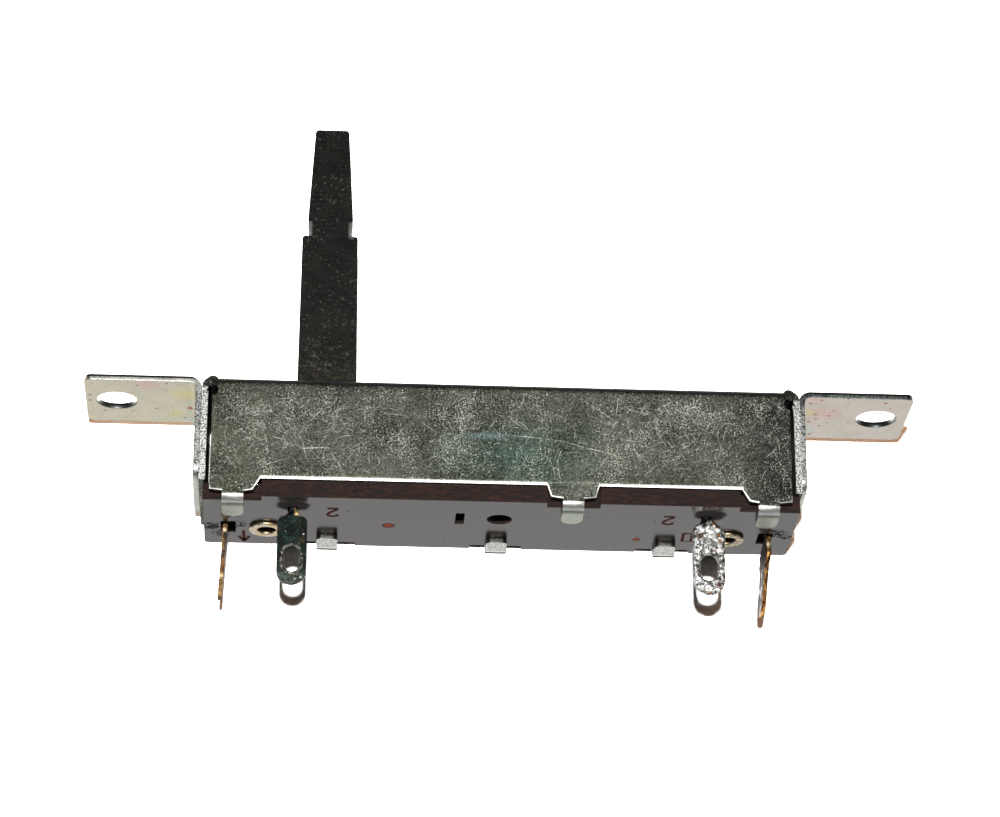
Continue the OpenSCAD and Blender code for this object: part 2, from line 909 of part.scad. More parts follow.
module friction_spring() {
    wave = 24;
    flat_half = lever_base_w / 2 + 0.3;
    wing = spring_l / 2 - flat_half;
    rise = runner_h - spring_t;
    mid = [for (i = [0 : wave]) let (u = i / wave) [flat_half + u * wing, deck + rise * sin(u * 150)]];
    side = concat([[0, deck]], mid);
    low = concat([for (i = [len(side) - 1 : -1 : 1]) [-side[i].x, side[i].y]], side);
    high = [for (i = [len(low) - 1 : -1 : 0]) [low[i].x, low[i].y + spring_t]];
    color([0.62, 0.63, 0.64])
        translate([lever_rest, 0, 0])
            difference() {
                translate([0, spring_w / 2, 0])
                    rotate([90, 0, 0])
                        linear_extrude(spring_w)
                            polygon(concat(low, high));
                cube([lever_base_w + 2 * spring_fit, lever_t + 4 * spring_fit, cut], center = true);
            }
}

cover();
ear_bracket_left();
ear_bracket_right();
base_board();
carbon_track();
track_pad_left();
track_pad_right();
collector_rail();
lug_solder();
end_terminal_left();
end_terminal_right();
eyelet_left();
eyelet_right();
slider_lever();
wiper_contact();
friction_spring();
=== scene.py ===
# Slide potentiometer with 30 mm of travel: finishes, fine shapes, light and camera.
import math

import bmesh
import bpy
from mathutils import Matrix, Vector, noise
from random import Random


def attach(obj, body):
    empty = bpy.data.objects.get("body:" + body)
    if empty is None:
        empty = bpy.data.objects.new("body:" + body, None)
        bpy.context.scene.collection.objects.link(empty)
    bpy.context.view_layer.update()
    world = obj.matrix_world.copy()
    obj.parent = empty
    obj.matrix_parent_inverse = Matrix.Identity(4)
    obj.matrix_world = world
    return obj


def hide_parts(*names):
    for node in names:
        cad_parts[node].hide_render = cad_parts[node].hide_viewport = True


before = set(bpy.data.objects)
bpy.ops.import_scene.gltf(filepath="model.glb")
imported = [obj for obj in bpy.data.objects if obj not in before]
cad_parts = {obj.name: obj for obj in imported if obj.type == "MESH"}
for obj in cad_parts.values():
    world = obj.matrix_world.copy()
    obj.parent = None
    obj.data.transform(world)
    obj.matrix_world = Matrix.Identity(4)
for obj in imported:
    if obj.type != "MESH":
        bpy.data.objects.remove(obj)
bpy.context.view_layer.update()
bpy.context.scene.view_settings.view_transform = "Standard"
mm = 0.001
print("frame loaded:", len(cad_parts), "nodes")

cameraView = {
    "azimuth": 3.293,
    "elevation": 23.377,
    "roll": 0.124,
    "target": (0.107, 0, -0.351),  # mm
    "distance": 278.438,  # mm
    "lens": 126.93,
    "sensor": 36,
}


def addCamera(view):
    az, el, roll = (math.radians(view[k]) for k in ("azimuth", "elevation", "roll"))
    forward = Vector((math.sin(az) * math.cos(el), math.cos(az) * math.cos(el), math.sin(el)))
    right = forward.cross(Vector((0, 0, 1))).normalized()
    up = right.cross(forward)
    right, up = right * math.cos(roll) + up * math.sin(roll), up * math.cos(roll) - right * math.sin(roll)
    camera = bpy.data.objects.new("camera", bpy.data.cameras.new("camera"))
    bpy.context.collection.objects.link(camera)
    camera.data.lens = view["lens"]
    camera.data.sensor_width = view["sensor"]
    camera.data.clip_start = 0.01
    camera.data.clip_end = 10
    place = (Vector(view["target"]) - forward * view["distance"]) * mm
    camera.matrix_world = Matrix.Translation(place) @ Matrix((right, up, -forward)).transposed().to_4x4()
    bpy.context.scene.camera = camera


# Place and size in mm, power in watts. Each lamp aims at the origin.
lamps = {
    "frontLamp": {"place": (-22, -404, -60), "size": 24, "power": 1.5},
    "backLampRight": {"place": (230, 300, 260), "size": 240, "power": 1.3},
    "backLampLeft": {"place": (-280, 210, 260), "size": 240, "power": 1.2},
}


def addLamp(name, lamp):
    light = bpy.data.lights.new(name, "AREA")
    light.size = lamp["size"] * mm
    light.energy = lamp["power"]
    obj = bpy.data.objects.new(name, light)
    bpy.context.collection.objects.link(obj)
    place = Vector(lamp["place"]) * mm
    obj.matrix_world = Matrix.Translation(place) @ (-place).to_track_quat("-Z", "Y").to_matrix().to_4x4()


# Adds nodes to one tree. Each value is a socket to link or a constant.
class Nodes:
    def __init__(self, tree):
        self.tree = tree

    def fill(self, node, values):
        for name, value in values.items():
            if isinstance(value, bpy.types.NodeSocket):
                self.tree.links.new(value, node.inputs[name])
            else:
                node.inputs[name].default_value = value

    def add(self, kind, values=None, **settings):
        made = self.tree.nodes.new(kind)
        for name, value in settings.items():
            setattr(made, name, value)
        self.fill(made, values or {})
        return made.outputs

    def calc(self, operation, a, b=0.5):
        return self.add("ShaderNodeMath", {0: a, 1: b}, operation=operation)[0]

    def times(self, first, *others):
        for other in others:
            first = self.calc("MULTIPLY", first, other)
        return first

    def plus(self, a, b):
        return self.calc("ADD", a, b)

    def minus(self, a, b):
        return self.calc("SUBTRACT", a, b)

    def larger(self, a, b):
        return self.calc("MAXIMUM", a, b)

    def size(self, a):
        return self.calc("ABSOLUTE", a)

    def ramp(self, value, low, high, outLow=0.0, outHigh=1.0, kind="SMOOTHSTEP"):
        values = {"Value": value, "From Min": low, "From Max": high, "To Min": outLow, "To Max": outHigh}
        return self.add("ShaderNodeMapRange", values, interpolation_type=kind)[0]

    def mixValue(self, factor, a, b):
        return self.add("ShaderNodeMix", {0: factor, 2: a, 3: b})[0]

    def mix(self, factor, a, b, blend="MIX"):
        a, b = (v if isinstance(v, bpy.types.NodeSocket) else (*v, 1) for v in (a, b))
        return self.add("ShaderNodeMix", {0: factor, 6: a, 7: b}, data_type="RGBA", blend_type=blend)[2]

    def tint(self, colour, by):
        return self.mix(1.0, colour, by, "MULTIPLY")

    # A colour with another one over it, where the mask is.
    def over(self, colour, mask, amount, top):
        return self.mix(self.times(mask, amount), colour, top)

    def noise(self, vector, scale, detail, rough, distort=0.0):
        values = {"Vector": vector, "Scale": scale, "Detail": detail, "Roughness": rough, "Distortion": distort}
        return self.add("ShaderNodeTexNoise", values)[0]

    def vector(self, operation, a, *others, out=0):
        values = dict(enumerate((a, *others)))
        return self.add("ShaderNodeVectorMath", values, operation=operation)[out]

    def scaled(self, vector, scale):
        return self.add("ShaderNodeVectorMath", {0: vector, 3: scale}, operation="SCALE")[0]

    # Longer by scale along each axis.
    def drawnOut(self, vector, scale):
        return self.add("ShaderNodeMapping", {"Vector": vector, "Scale": scale}, vector_type="TEXTURE")[0]

    def use(self, group, **values):
        return self.add("ShaderNodeGroup", values, node_tree=group)["Mask"]

    def curls(self, place, scale, width, cover):
        return self.use(curlGroup, Vector=place, Scale=scale, Width=width, Cover=cover)

    def grains(self, place, scale, cover, clump):
        return self.use(grainGroup, Vector=place, Scale=scale, Cover=cover, Clump=clump)

    def spot(self, place, centre, radius, softness, ragged):
        values = {"Centre": centre, "Radius": radius, "Softness": softness, "Ragged": ragged}
        return self.use(spotGroup, Vector=place, **values)

    # Spots given as X, Y, Z and radius.
    def spots(self, place, marks, softness, ragged):
        total = 0.0
        for *centre, radius in marks:
            total = self.larger(total, self.spot(place, centre, radius, softness, ragged))
        return total

    # Strokes along lines of points (X, Z) on the face across Y at the given place.
    def strokes(self, place, lines, y, width):
        total = 0.0
        for line in lines:
            for (ax, az), (bx, bz) in zip(line, line[1:]):
                mask = self.use(strokeGroup, Vector=place, From=(ax, y, az), To=(bx, y, bz), Width=width)
                total = self.larger(total, mask)
        return total


# How bright the room is towards the front (-Y), high in front, and towards the back.
roomLight = {
    "fillFront": 0.001,
    "fillHigh": 0.6,
    "highBand": (0.36, 0.44, 0.60, 0.68),  # where the high part fades in and out, as a share of straight up
    "fillBack": 0.55,
    "fillTint": (1.0, 0.92, 0.8),
    "highTint": (1.0, 0.52, 0.28),
    "mirrorFront": 0.12,
    "mirrorBack": 1.0,
    "seen": 1.0,
}


def buildRoom(light):
    world = bpy.data.worlds.new("room")
    bpy.context.scene.world = world
    world.use_nodes = True
    world.cycles.sampling_method = "NONE"
    world.node_tree.nodes.clear()
    n = Nodes(world.node_tree)
    path = n.add("ShaderNodeLightPath")
    toward = n.add("ShaderNodeSeparateXYZ", {0: n.add("ShaderNodeTexCoord")["Generated"]})
    y, z = toward["Y"], toward["Z"]
    mirror = n.ramp(y, -0.1, 0.1, light["mirrorFront"], light["mirrorBack"])
    low, lowEnd, highEnd, high = light["highBand"]
    band = n.times(n.ramp(z, low, lowEnd), n.ramp(z, high, highEnd), n.ramp(y, 0.0, -0.1))
    front = n.ramp(band, 0.0, 1.0, light["fillFront"], light["fillHigh"], "LINEAR")
    fill = n.ramp(y, 0.0, 0.25, front, light["fillBack"])
    isMirror = n.larger(path["Is Glossy Ray"], path["Is Transmission Ray"])
    level = n.mixValue(isMirror, fill, mirror)
    # light that the part throws on to matt things is left out
    deep = n.calc("GREATER_THAN", n.plus(path["Diffuse Depth"], path["Is Glossy Ray"]), 1.5)
    deep = n.times(deep, n.calc("GREATER_THAN", path["Diffuse Depth"], 0.5))
    level = n.mixValue(deep, level, 0.0)
    level = n.mixValue(path["Is Camera Ray"], level, light["seen"])
    isSeen = n.larger(isMirror, path["Is Camera Ray"])
    colour = n.mix(isSeen, n.mix(band, light["fillTint"], light["highTint"]), (1.0, 1.0, 1.0))
    shade = n.add("ShaderNodeBackground", {"Color": colour, "Strength": level})[0]
    n.add("ShaderNodeOutputWorld", {"Surface": shade})


# The sheet that the part lies on, in mm. It shows only from the side that the part is on.
floorSet = {"y": 5.03, "half": 700, "colour": (5.0, 4.8, 4.6)}


def addFloor(spec):
    bm = bmesh.new()
    turn = Matrix.Translation((0, spec["y"] * mm, 0)) @ Matrix.Rotation(math.radians(90), 4, "X")
    bmesh.ops.create_grid(bm, x_segments=1, y_segments=1, size=spec["half"] * mm, matrix=turn)
    mesh = bpy.data.meshes.new("floor")
    bm.to_mesh(mesh)
    bm.free()
    floor = bpy.data.objects.new("floor", mesh)
    bpy.context.collection.objects.link(floor)
    for ray in ("diffuse", "glossy", "transmission", "volume_scatter", "shadow"):
        setattr(floor, "visible_" + ray, False)
    paper = bpy.data.materials.new("floorPaper")
    paper.use_nodes = True
    paper.node_tree.nodes.clear()
    n = Nodes(paper.node_tree)
    front = n.add("ShaderNodeBsdfDiffuse", {"Color": (*spec["colour"], 1)})[0]
    clear = n.add("ShaderNodeBsdfTransparent")[0]
    behind = n.add("ShaderNodeNewGeometry")["Backfacing"]
    shade = n.add("ShaderNodeMixShader", {0: behind, 1: front, 2: clear})[0]
    n.add("ShaderNodeOutputMaterial", {"Surface": shade})
    mesh.materials.append(paper)


addCamera(cameraView)
for lampName, lampSet in lamps.items():
    addLamp(lampName, lampSet)
buildRoom(roomLight)
addFloor(floorSet)
print("camera, floor and light placed")


# A shared effect that works in millimetres and gives a mask.
def newGroup(name, **inputs):
    group = bpy.data.node_groups.new(name, "ShaderNodeTree")
    for label, value in inputs.items():
        kind = "NodeSocketVector" if isinstance(value, tuple) else "NodeSocketFloat"
        group.interface.new_socket(label, in_out="INPUT", socket_type=kind).default_value = value
    group.interface.new_socket("Mask", in_out="OUTPUT", socket_type="NodeSocketFloat")
    n = Nodes(group)
    return n, n.add("NodeGroupInput")


origin = (0.0, 0.0, 0.0)


# Hair-thin curls, where a smooth noise crosses its middle.
def buildCurls():
    n, given = newGroup("curls", Vector=origin, Scale=1.5, Width=0.02, Cover=0.5)
    bent = n.noise(given["Vector"], given["Scale"], 1.0, 0.5, 1.2)
    away = n.calc("DIVIDE", n.size(n.minus(bent, 0.5)), given["Width"])
    line = n.ramp(away, 0.5, 1.0, 1.0, 0.0)
    apart = n.vector("ADD", given["Vector"], (7.0, 3.0, 5.0))
    gaps = n.noise(apart, n.times(given["Scale"], 0.9), 2.0, 0.5)
    gate = n.ramp(n.plus(gaps, given["Cover"]), 0.92, 1.06)
    n.add("NodeGroupOutput", {"Mask": n.times(line, gate)})
    return n.tree


# Scattered bright or dark grains.
def buildGrains():
    n, given = newGroup("grains", Vector=origin, Scale=7.0, Cover=0.3, Clump=0.3)
    fine = n.noise(given["Vector"], given["Scale"], 3.0, 0.7)
    patch = n.noise(given["Vector"], given["Clump"], 3.0, 0.6)
    level = n.minus(0.78, n.times(given["Cover"], patch))
    n.add("NodeGroupOutput", {"Mask": n.ramp(n.minus(fine, level), 0.0, 0.06)})
    return n.tree


# One ragged spot round a centre.
def buildSpot():
    n, given = newGroup("spot", Vector=origin, Centre=origin, Radius=1.0, Softness=0.2, Ragged=0.2)
    offset = n.vector("SUBTRACT", given["Vector"], given["Centre"])
    share = n.calc("DIVIDE", n.vector("LENGTH", offset, out="Value"), given["Radius"])
    ragged = n.noise(given["Vector"], n.calc("DIVIDE", 2.2, given["Radius"]), 4.0, 0.65)
    share = n.plus(share, n.times(n.minus(ragged, 0.5), given["Ragged"], 4.0))
    mask = n.ramp(share, n.minus(1.0, given["Softness"]), 1.0, 1.0, 0.0, "LINEAR")
    n.add("NodeGroupOutput", {"Mask": mask})
    return n.tree


# One straight stroke from one point to another.
def buildStroke():
    n, given = newGroup("stroke", Vector=origin, From=origin, To=(1.0, 0.0, 0.0), Width=0.1)
    along = n.vector("SUBTRACT", given["To"], given["From"])
    offset = n.vector("SUBTRACT", given["Vector"], given["From"])
    far, whole = (n.vector("DOT_PRODUCT", v, along, out="Value") for v in (offset, along))
    share = n.add("ShaderNodeMath", {0: far, 1: whole}, operation="DIVIDE", use_clamp=True)[0]
    length = n.vector("LENGTH", n.vector("SUBTRACT", offset, n.scaled(along, share)), out="Value")
    mask = n.ramp(n.calc("DIVIDE", length, given["Width"]), 0.2, 0.6, 1.0, 0.0)
    n.add("NodeGroupOutput", {"Mask": mask})
    return n.tree


curlGroup = buildCurls()
grainGroup = buildGrains()
spotGroup = buildSpot()
strokeGroup = buildStroke()
metal = {"Metallic": 1.0}


# A material with its place in mm and the way its faces look.
class Finish(Nodes):
    def __init__(self, name):
        self.material = bpy.data.materials.new(name)
        self.material.use_nodes = True
        super().__init__(self.material.node_tree)
        coords = self.add("ShaderNodeTexCoord")
        self.place = self.scaled(coords["Object"], 1000.0)
        self.x, self.y, self.z = self.add("ShaderNodeSeparateXYZ", {0: self.place})
        self.faceX, self.faceY, self.faceZ = self.add("ShaderNodeSeparateXYZ", {0: coords["Normal"]})

    def moved(self, *move):
        return self.vector("ADD", self.place, move)

    # The bump's depth is in mm.
    def done(self, colour, rough, height=None, depth=0.0, others=metal):
        values = {"Base Color": colour, "Roughness": rough, **others}
        if height is not None:
            values["Normal"] = self.add("ShaderNodeBump", {"Height": height, "Distance": depth * mm})[0]
        self.fill(self.tree.nodes["Principled BSDF"], values)
        return self.material


coverFinish = {
    "dark": (0.014, 0.017, 0.012),
    "light": (0.165, 0.178, 0.138),
    "fleckGlint": (0.66, 0.68, 0.57),
    "brown": (0.165, 0.120, 0.080),
    "tealTint": (0.56, 0.90, 0.90),
    "warmTint": (1.12, 0.98, 0.95),
    "endShadeTint": (0.50, 0.44, 0.50),
    "smear": (0.28, 0.40, 0.41),
    "bend": (0.030, 0.037, 0.030),
    "rolled": (0.55, 0.54, 0.50),
    "sheared": (0.030, 0.020, 0.022),
    "inside": (0.05, 0.05, 0.045),
    "corner": ((0.02, 0.024, 0.022), (0.16, 0.16, 0.13)),
    "flapEdge": ((0.06, 0.06, 0.055), (0.95, 0.95, 0.92)),
    "nearBendShade": (0.105, 0.125, 0.11),
    "nearTab": ((0.290, 0.306, 0.248), (0.432, 0.451, 0.386)),
    "nearRimHighlight": (0.75, 0.76, 0.74),
    "farBendShade": (0.06, 0.06, 0.055),
    "farTab": ((0.20, 0.21, 0.18), (0.78, 0.79, 0.75)),
    "farTipHighlight": ((0.13, 0.145, 0.125), (0.98, 0.98, 0.95)),
    "farRimHighlight": (0.95, 0.95, 0.92),
    "farTabX": 13.3,
}


def coverSteel(c):
    m = Finish("coverSteel")
    x, y, z, faceZ = m.x, m.y, m.z, m.faceZ
    offX, offY = m.size(x), m.size(y)
    grit = m.noise(m.place, 6.2, 4.0, 0.8)
    tone = m.noise(m.moved(4.0, 0.0, 2.0), 0.33, 5.0, 0.6)
    speckle = m.plus(grit, m.times(m.minus(tone, 0.5), 0.34))
    colour = m.mix(m.ramp(speckle, 0.40, 0.615, kind="LINEAR"), c["dark"], c["light"])
    # plating tints, then painted shade darkening the wall towards its right end
    teal = m.spot(m.drawnOut(m.place, (2, 1, 1)), (0.6, -5, -6.4), 3.4, 0.9, 0.3)
    colour = m.over(colour, teal, 0.85, m.tint(colour, c["tealTint"]))
    colour = m.over(colour, m.ramp(x, -13.0, -21.0), 0.6, m.tint(colour, c["warmTint"]))
    endShade = m.ramp(m.plus(x, m.times(tone, 6.0)), 20.8, 24.0, 0.0, 0.95)
    colour = m.mix(endShade, colour, m.tint(colour, c["endShadeTint"]))
    colour = m.over(colour, m.grains(m.place, 1.6, 0.26, 0.3), 0.55, c["brown"])
    # light flecks, partly painted glints, and curls; the top bend gets none
    flecksAndGlints = m.grains(m.moved(2.0, 5.0, 1.0), 7.6, 0.38, 0.33)
    curls = m.curls(m.place, 2.4, 0.02, 0.46)
    bend = m.times(m.ramp(faceZ, 0.1, 0.4), m.ramp(z, -1.3, -1.1), m.ramp(y, -4.0, -4.3))
    marks = m.larger(m.times(curls, 0.36), m.times(flecksAndGlints, 0.95))
    colour = m.over(colour, marks, m.minus(1.0, bend), c["fleckGlint"])
    # painted shade along the top bend, which turns away from the lamp
    colour = m.over(colour, bend, 0.85, c["bend"])
    smear = m.spot(m.drawnOut(m.place, (5, 1, 0.7)), (-0.2, -5, -6.9), 0.55, 0.9, 0.5)
    smear = m.times(smear, m.ramp(grit, 0.4, 0.6, 0.2, 0.6), m.ramp(y, -4.9, -4.96))
    colour = m.mix(smear, colour, c["smear"])
    # painted highlight on the rolled lower rims, and the sheared edges
    lowZone = m.times(m.ramp(z, -8.0, -8.2), m.ramp(offX, 23.0, 22.8))
    rolled = m.times(lowZone, m.ramp(faceZ, -0.12, -0.24), m.ramp(faceZ, -0.82, -0.66))
    colour = m.over(colour, rolled, m.ramp(grit, 0.25, 0.42, 0.55, 1.0), c["rolled"])
    sheared = m.times(lowZone, m.ramp(faceZ, -0.75, -0.92), m.ramp(z, -9.95, -9.85))
    colour = m.over(colour, sheared, 0.95, c["sheared"])
    # clinched tabs: seen from below on the near side, from their tips on the far side; painted shade at their bends,
    # painted highlights on their rims and in the middle of the far tips
    tabs = m.ramp(z, -9.88, -10.0)
    near = m.mix(m.ramp(grit, 0.35, 0.65), *c["nearTab"])
    near = m.mix(m.ramp(m.plus(y, m.times(grit, 1.1)), -3.95, -3.3), c["nearBendShade"], near)
    near = m.mix(m.ramp(faceZ, -0.93, -0.8), near, c["nearRimHighlight"])
    offMiddle = m.calc("MINIMUM", offX, m.size(m.minus(offX, c["farTabX"])))
    tip = m.mix(m.ramp(m.plus(offMiddle, m.times(grit, 0.3)), 0.78, 0.55), *c["farTipHighlight"])
    far = m.mix(m.ramp(grit, 0.42, 0.56), *c["farTab"])
    far = m.mix(m.ramp(y, 4.2, 4.35), far, c["farRimHighlight"])
    far = m.mix(m.ramp(m.faceY, -0.2, -0.7), far, tip)
    far = m.mix(m.ramp(faceZ, -0.72, -0.55), far, c["farBendShade"])
    isFar = m.ramp(y, -0.5, 0.5)
    tabFaces = m.larger(m.ramp(faceZ, -0.5, -0.75), isFar)
    colour = m.over(colour, tabs, tabFaces, m.mix(isFar, near, far))
    # the corner cuts, painted shade on the inside, and the end flaps' edges
    corner = m.spot(m.vector("ABSOLUTE", m.place), (22.5, 4.9, 0.8), 0.8, 0.4, 0.12)
    cornerColour = m.mix(m.ramp(m.noise(m.place, 3.5, 3.0, 0.7), 0.54, 0.66), *c["corner"])
    colour = m.over(colour, corner, 0.9, cornerColour)
    inside = m.times(m.ramp(offY, 4.52, 4.48), m.ramp(z, -0.74, -0.8), m.ramp(offX, 22.8, 22.7))
    colour = m.over(colour, inside, m.ramp(z, -9.4, -9.2), c["inside"])
    flapEdge = m.times(m.ramp(offX, 22.72, 22.8), m.ramp(m.size(m.faceY), 0.5, 0.8), m.ramp(z, -1.0, -1.3))
    edgeColour = m.mix(m.ramp(m.noise(m.place, 7.0, 3.0, 0.8), 0.4, 0.58), *c["flapEdge"])
    colour = m.mix(flapEdge, colour, edgeColour)
    height = m.minus(m.plus(m.times(grit, 0.8), m.times(flecksAndGlints, 0.12)), m.times(marks, 0.25))
    rough = m.ramp(m.noise(m.place, 1.1, 4.0, 0.6), 0.3, 0.7, 0.44, 0.54)
    return m.done(colour, m.mixValue(m.larger(rolled, tabs), rough, 0.36), height, 0.028)


scratchFinish = {"worn": (0.36, 0.37, 0.31), "bright": (0.88, 0.88, 0.80)}


def scratchedSteel(c):
    m = Finish("scratchedSteel")
    worn = m.noise(m.place, 3.2, 3.0, 0.7)
    colour = m.mix(m.ramp(worn, 0.35, 0.65), c["worn"], c["bright"])
    seen = m.ramp(m.noise(m.moved(5.0, 2.0, 9.0), 1.6, 4.0, 0.75), 0.36, 0.6, 0.05, 0.9)
    return m.done(colour, m.ramp(worn, 0.3, 0.7, 0.4, 0.52), others={**metal, "Alpha": seen})


bracketFinish = {
    "left": (0.565, 0.535, 0.405),
    "right": (0.565, 0.515, 0.445),
    "coolTint": (0.88, 0.92, 1.0),
    "grimeTint": (0.55, 0.52, 0.46),
    "dot": (0.16, 0.10, 0.07),
    "hair": (0.3, 0.28, 0.22),
    "plate": ((0.26, 0.28, 0.24), (0.60, 0.62, 0.54)),
    "cut": ((0.05, 0.055, 0.05), (0.95, 0.95, 0.92)),
    "highlightLineLeft": ((0.35, 0.35, 0.30), (0.9, 0.9, 0.85)),
    "highlightLineRight": ((0.03, 0.045, 0.045), (0.35, 0.38, 0.36)),
    "bore": (0.06, 0.07, 0.075),
    "bores": ((30, 0, -0.25, 1.72), (-30, 0, -0.25, 1.72)),
    # stains on the ears' lower faces: colour and amount, then X, Y and radius in mm
    "lowerFace": -0.5,
    "pink": ((0.640, 0.425, 0.390), 0.75, ((25.7, -0.9, 1.7), (24.6, -3.6, 0.9), (-27.5, -3.2, 1.3))),
    "yellow": ((0.600, 0.545, 0.240), 0.75, ((24.5, -1.0, 0.8), (-24.6, -1.6, 1.5), (-25.4, 2.2, 1.0))),
    "teal": ((0.400, 0.520, 0.480), 0.7, ((24.9, 2.3, 0.7), (-24.2, 3.4, 0.6))),
    "brown": (
        (0.16, 0.07, 0.04), 0.6,
        (
            (26.42, -1.55, 0.16), (26.17, -0.53, 0.18), (25.05, -0.75, 0.22), (25.21, 0.2, 0.2),
            (25.69, 1.52, 0.2), (26.22, 0.86, 0.15), (27.85, 0.68, 0.14), (-28.83, 2.01, 0.14),
        ),
    ),
    "rust": (
        (0.32, 0.06, 0.01), 0.9,
        ((-24.3, 1.11, 0.33), (30.28, -3.25, 0.2), (24.37, -2.87, 0.16), (24.72, 0.72, 0.2), (30.78, -2.21, 0.13)),
    ),
    "black": (
        (0.035, 0.035, 0.03), 0.85,
        (
            (-32.05, -1.06, 0.17), (-32.1, 0, 0.15), (-28.35, -3.09, 0.12), (-26.04, -3.61, 0.13),
            (-26.05, -2.27, 0.1), (-26.97, 1.35, 0.12), (-25.66, 2.35, 0.1), (-24.74, 3.06, 0.14),
            (-31.04, 1.92, 0.13), (25.19, -3.53, 0.14), (25.13, 3.21, 0.18), (27.22, -3.96, 0.12),
        ),
    ),
}


def bracketSteel(c):
    m = Finish("bracketSteel")

    def stained(under, names, softness, ragged):
        for name in names:
            ink, amount, marks = c[name]
            centres = [(px, py, c["lowerFace"], radius) for px, py, radius in marks]
            under = m.over(under, m.spots(m.place, centres, softness, ragged), amount, ink)
        return under

    tone = m.noise(m.place, 0.6, 4.0, 0.6)
    isRight = m.ramp(m.x, -1.0, 1.0)
    colour = m.mix(isRight, c["left"], c["right"])
    colour = m.mix(m.ramp(tone, 0.35, 0.7, 0.0, 0.35), colour, m.tint(colour, c["coolTint"]))
    colour = stained(colour, ("pink", "yellow", "teal"), 0.8, 0.35)
    fine = m.noise(m.place, 7.0, 4.0, 0.7)
    colour = m.mix(m.ramp(fine, 0.38, 0.7, 0.0, 0.3), colour, m.tint(colour, c["grimeTint"]))
    colour = m.over(colour, m.grains(m.place, 3.6, 0.27, 0.5), 0.45, c["dot"])
    colour = m.over(colour, m.curls(m.place, 1.0, 0.02, 0.4), 0.25, c["hair"])
    colour = stained(colour, ("brown", "rust", "black"), 0.5, 0.4)
    # the plates beside the cover are greyer
    plate = m.ramp(m.z, -0.9, -1.6)
    colour = m.mix(plate, colour, m.mix(m.ramp(fine, 0.35, 0.6), *c["plate"]))
    # cut edges: crumbled on the plates; on the ears a dark cut face with a painted highlight line along its top
    side = m.ramp(m.size(m.faceY), 0.6, 0.85)
    crumble = m.noise(m.drawnOut(m.place, (1, 1, 0.7)), 7.5, 4.0, 0.78)
    highlightLineLeft = m.mix(m.ramp(crumble, 0.35, 0.6), *c["highlightLineLeft"])
    highlightLineRight = m.mix(m.ramp(crumble, 0.4, 0.6), *c["highlightLineRight"])
    edgeWithHighlight = m.mix(m.ramp(m.z, -0.26, -0.2), m.mix(isRight, highlightLineLeft, highlightLineRight), c["cut"][0])
    crumbled = m.mix(m.ramp(crumble, 0.42, 0.56), *c["cut"])
    colour = m.mix(side, colour, m.mix(plate, edgeWithHighlight, crumbled))
    # painted shade on the walls of the ears' bores
    bores = m.times(m.spots(m.place, c["bores"], 0.02, 0.0), m.ramp(m.size(m.faceZ), 0.8, 0.5))
    colour = m.over(colour, bores, 0.85, c["bore"])
    height = m.plus(fine, m.times(crumble, side, 1.5))
    return m.done(colour, m.ramp(tone, 0.3, 0.7, 0.28, 0.4), height, 0.008)


lugFinish = {
    "dark": (0.011, 0.014, 0.012),
    "teal": (0.018, 0.034, 0.029),
    "brown": (0.050, 0.035, 0.020),
    "worn": (0.36, 0.38, 0.33),
    "gold": (0.85, 0.62, 0.28),
    "rail": ((0.30, 0.24, 0.13), (0.42, 0.34, 0.18)),
    "glint": (0.8, 0.82, 0.8),
    "glints": (
        (-15.12, -2.4, -12.3, 0.09), (-15.25, -2.4, -15.85, 0.11),
        (-15.7, -2.4, -16.0, 0.09), (-16.5, -2.4, -12.1, 0.06),
    ),
}


def darkBrass(c):
    m = Finish("darkBrass")
    tone = m.noise(m.place, 1.3, 5.0, 0.65)
    colour = m.mix(m.ramp(tone, 0.4, 0.66), c["dark"], c["teal"])
    other = m.noise(m.moved(3.0, 8.0, 1.0), 1.1, 5.0, 0.65)
    colour = m.mix(m.ramp(other, 0.52, 0.66, 0.0, 0.8), colour, c["brown"])
    grit = m.noise(m.place, 8.0, 4.0, 0.75)
    colour = m.over(colour, m.grains(m.place, 6.0, 0.31, 0.9), 0.3, c["worn"])
    low = m.times(m.ramp(m.z, -15.2, -15.6), m.ramp(grit, 0.4, 0.6))
    colour = m.over(colour, low, 0.3, c["worn"])
    # painted glints
    colour = m.over(colour, m.spots(m.place, c["glints"], 0.7, 0.6), 0.9, c["glint"])
    # the twisted neck's bare brass, painted brighter as a highlight
    neck = m.times(m.ramp(m.z, -10.85, -10.7), m.ramp(m.x, -15.95, -15.7), m.ramp(m.x, -10.0, -11.0))
    colour = m.over(colour, neck, 0.9, c["gold"])
    # the rail inside stays brighter
    colour = m.mix(m.ramp(m.z, -10.2, -10.0), colour, m.mix(grit, *c["rail"]))
    height = m.plus(grit, m.times(tone, 1.4))
    return m.done(colour, m.ramp(other, 0.3, 0.7, 0.34, 0.5), height, 0.02)


pinFinish = {
    "gold": ((0.176, 0.105, 0.045), (0.714, 0.375, 0.108)),  # left pin, right pin
    "brown": (0.11, 0.055, 0.022),
    "dark": (0.016, 0.015, 0.016),
    "copper": (0.38, 0.15, 0.05),
    "tin": (0.50, 0.51, 0.54),
    "inside": (0.52, 0.42, 0.22),
    "glint": (0.95, 0.78, 0.48),
    "glints": (
        (-21.45, 0.8, -14.6, 0.32), (20.7, 0.8, -14.7, 0.22),
        (21.15, 0.5, -11.1, 0.35), (-21.25, 0.6, -10.9, 0.2),
    ),
}


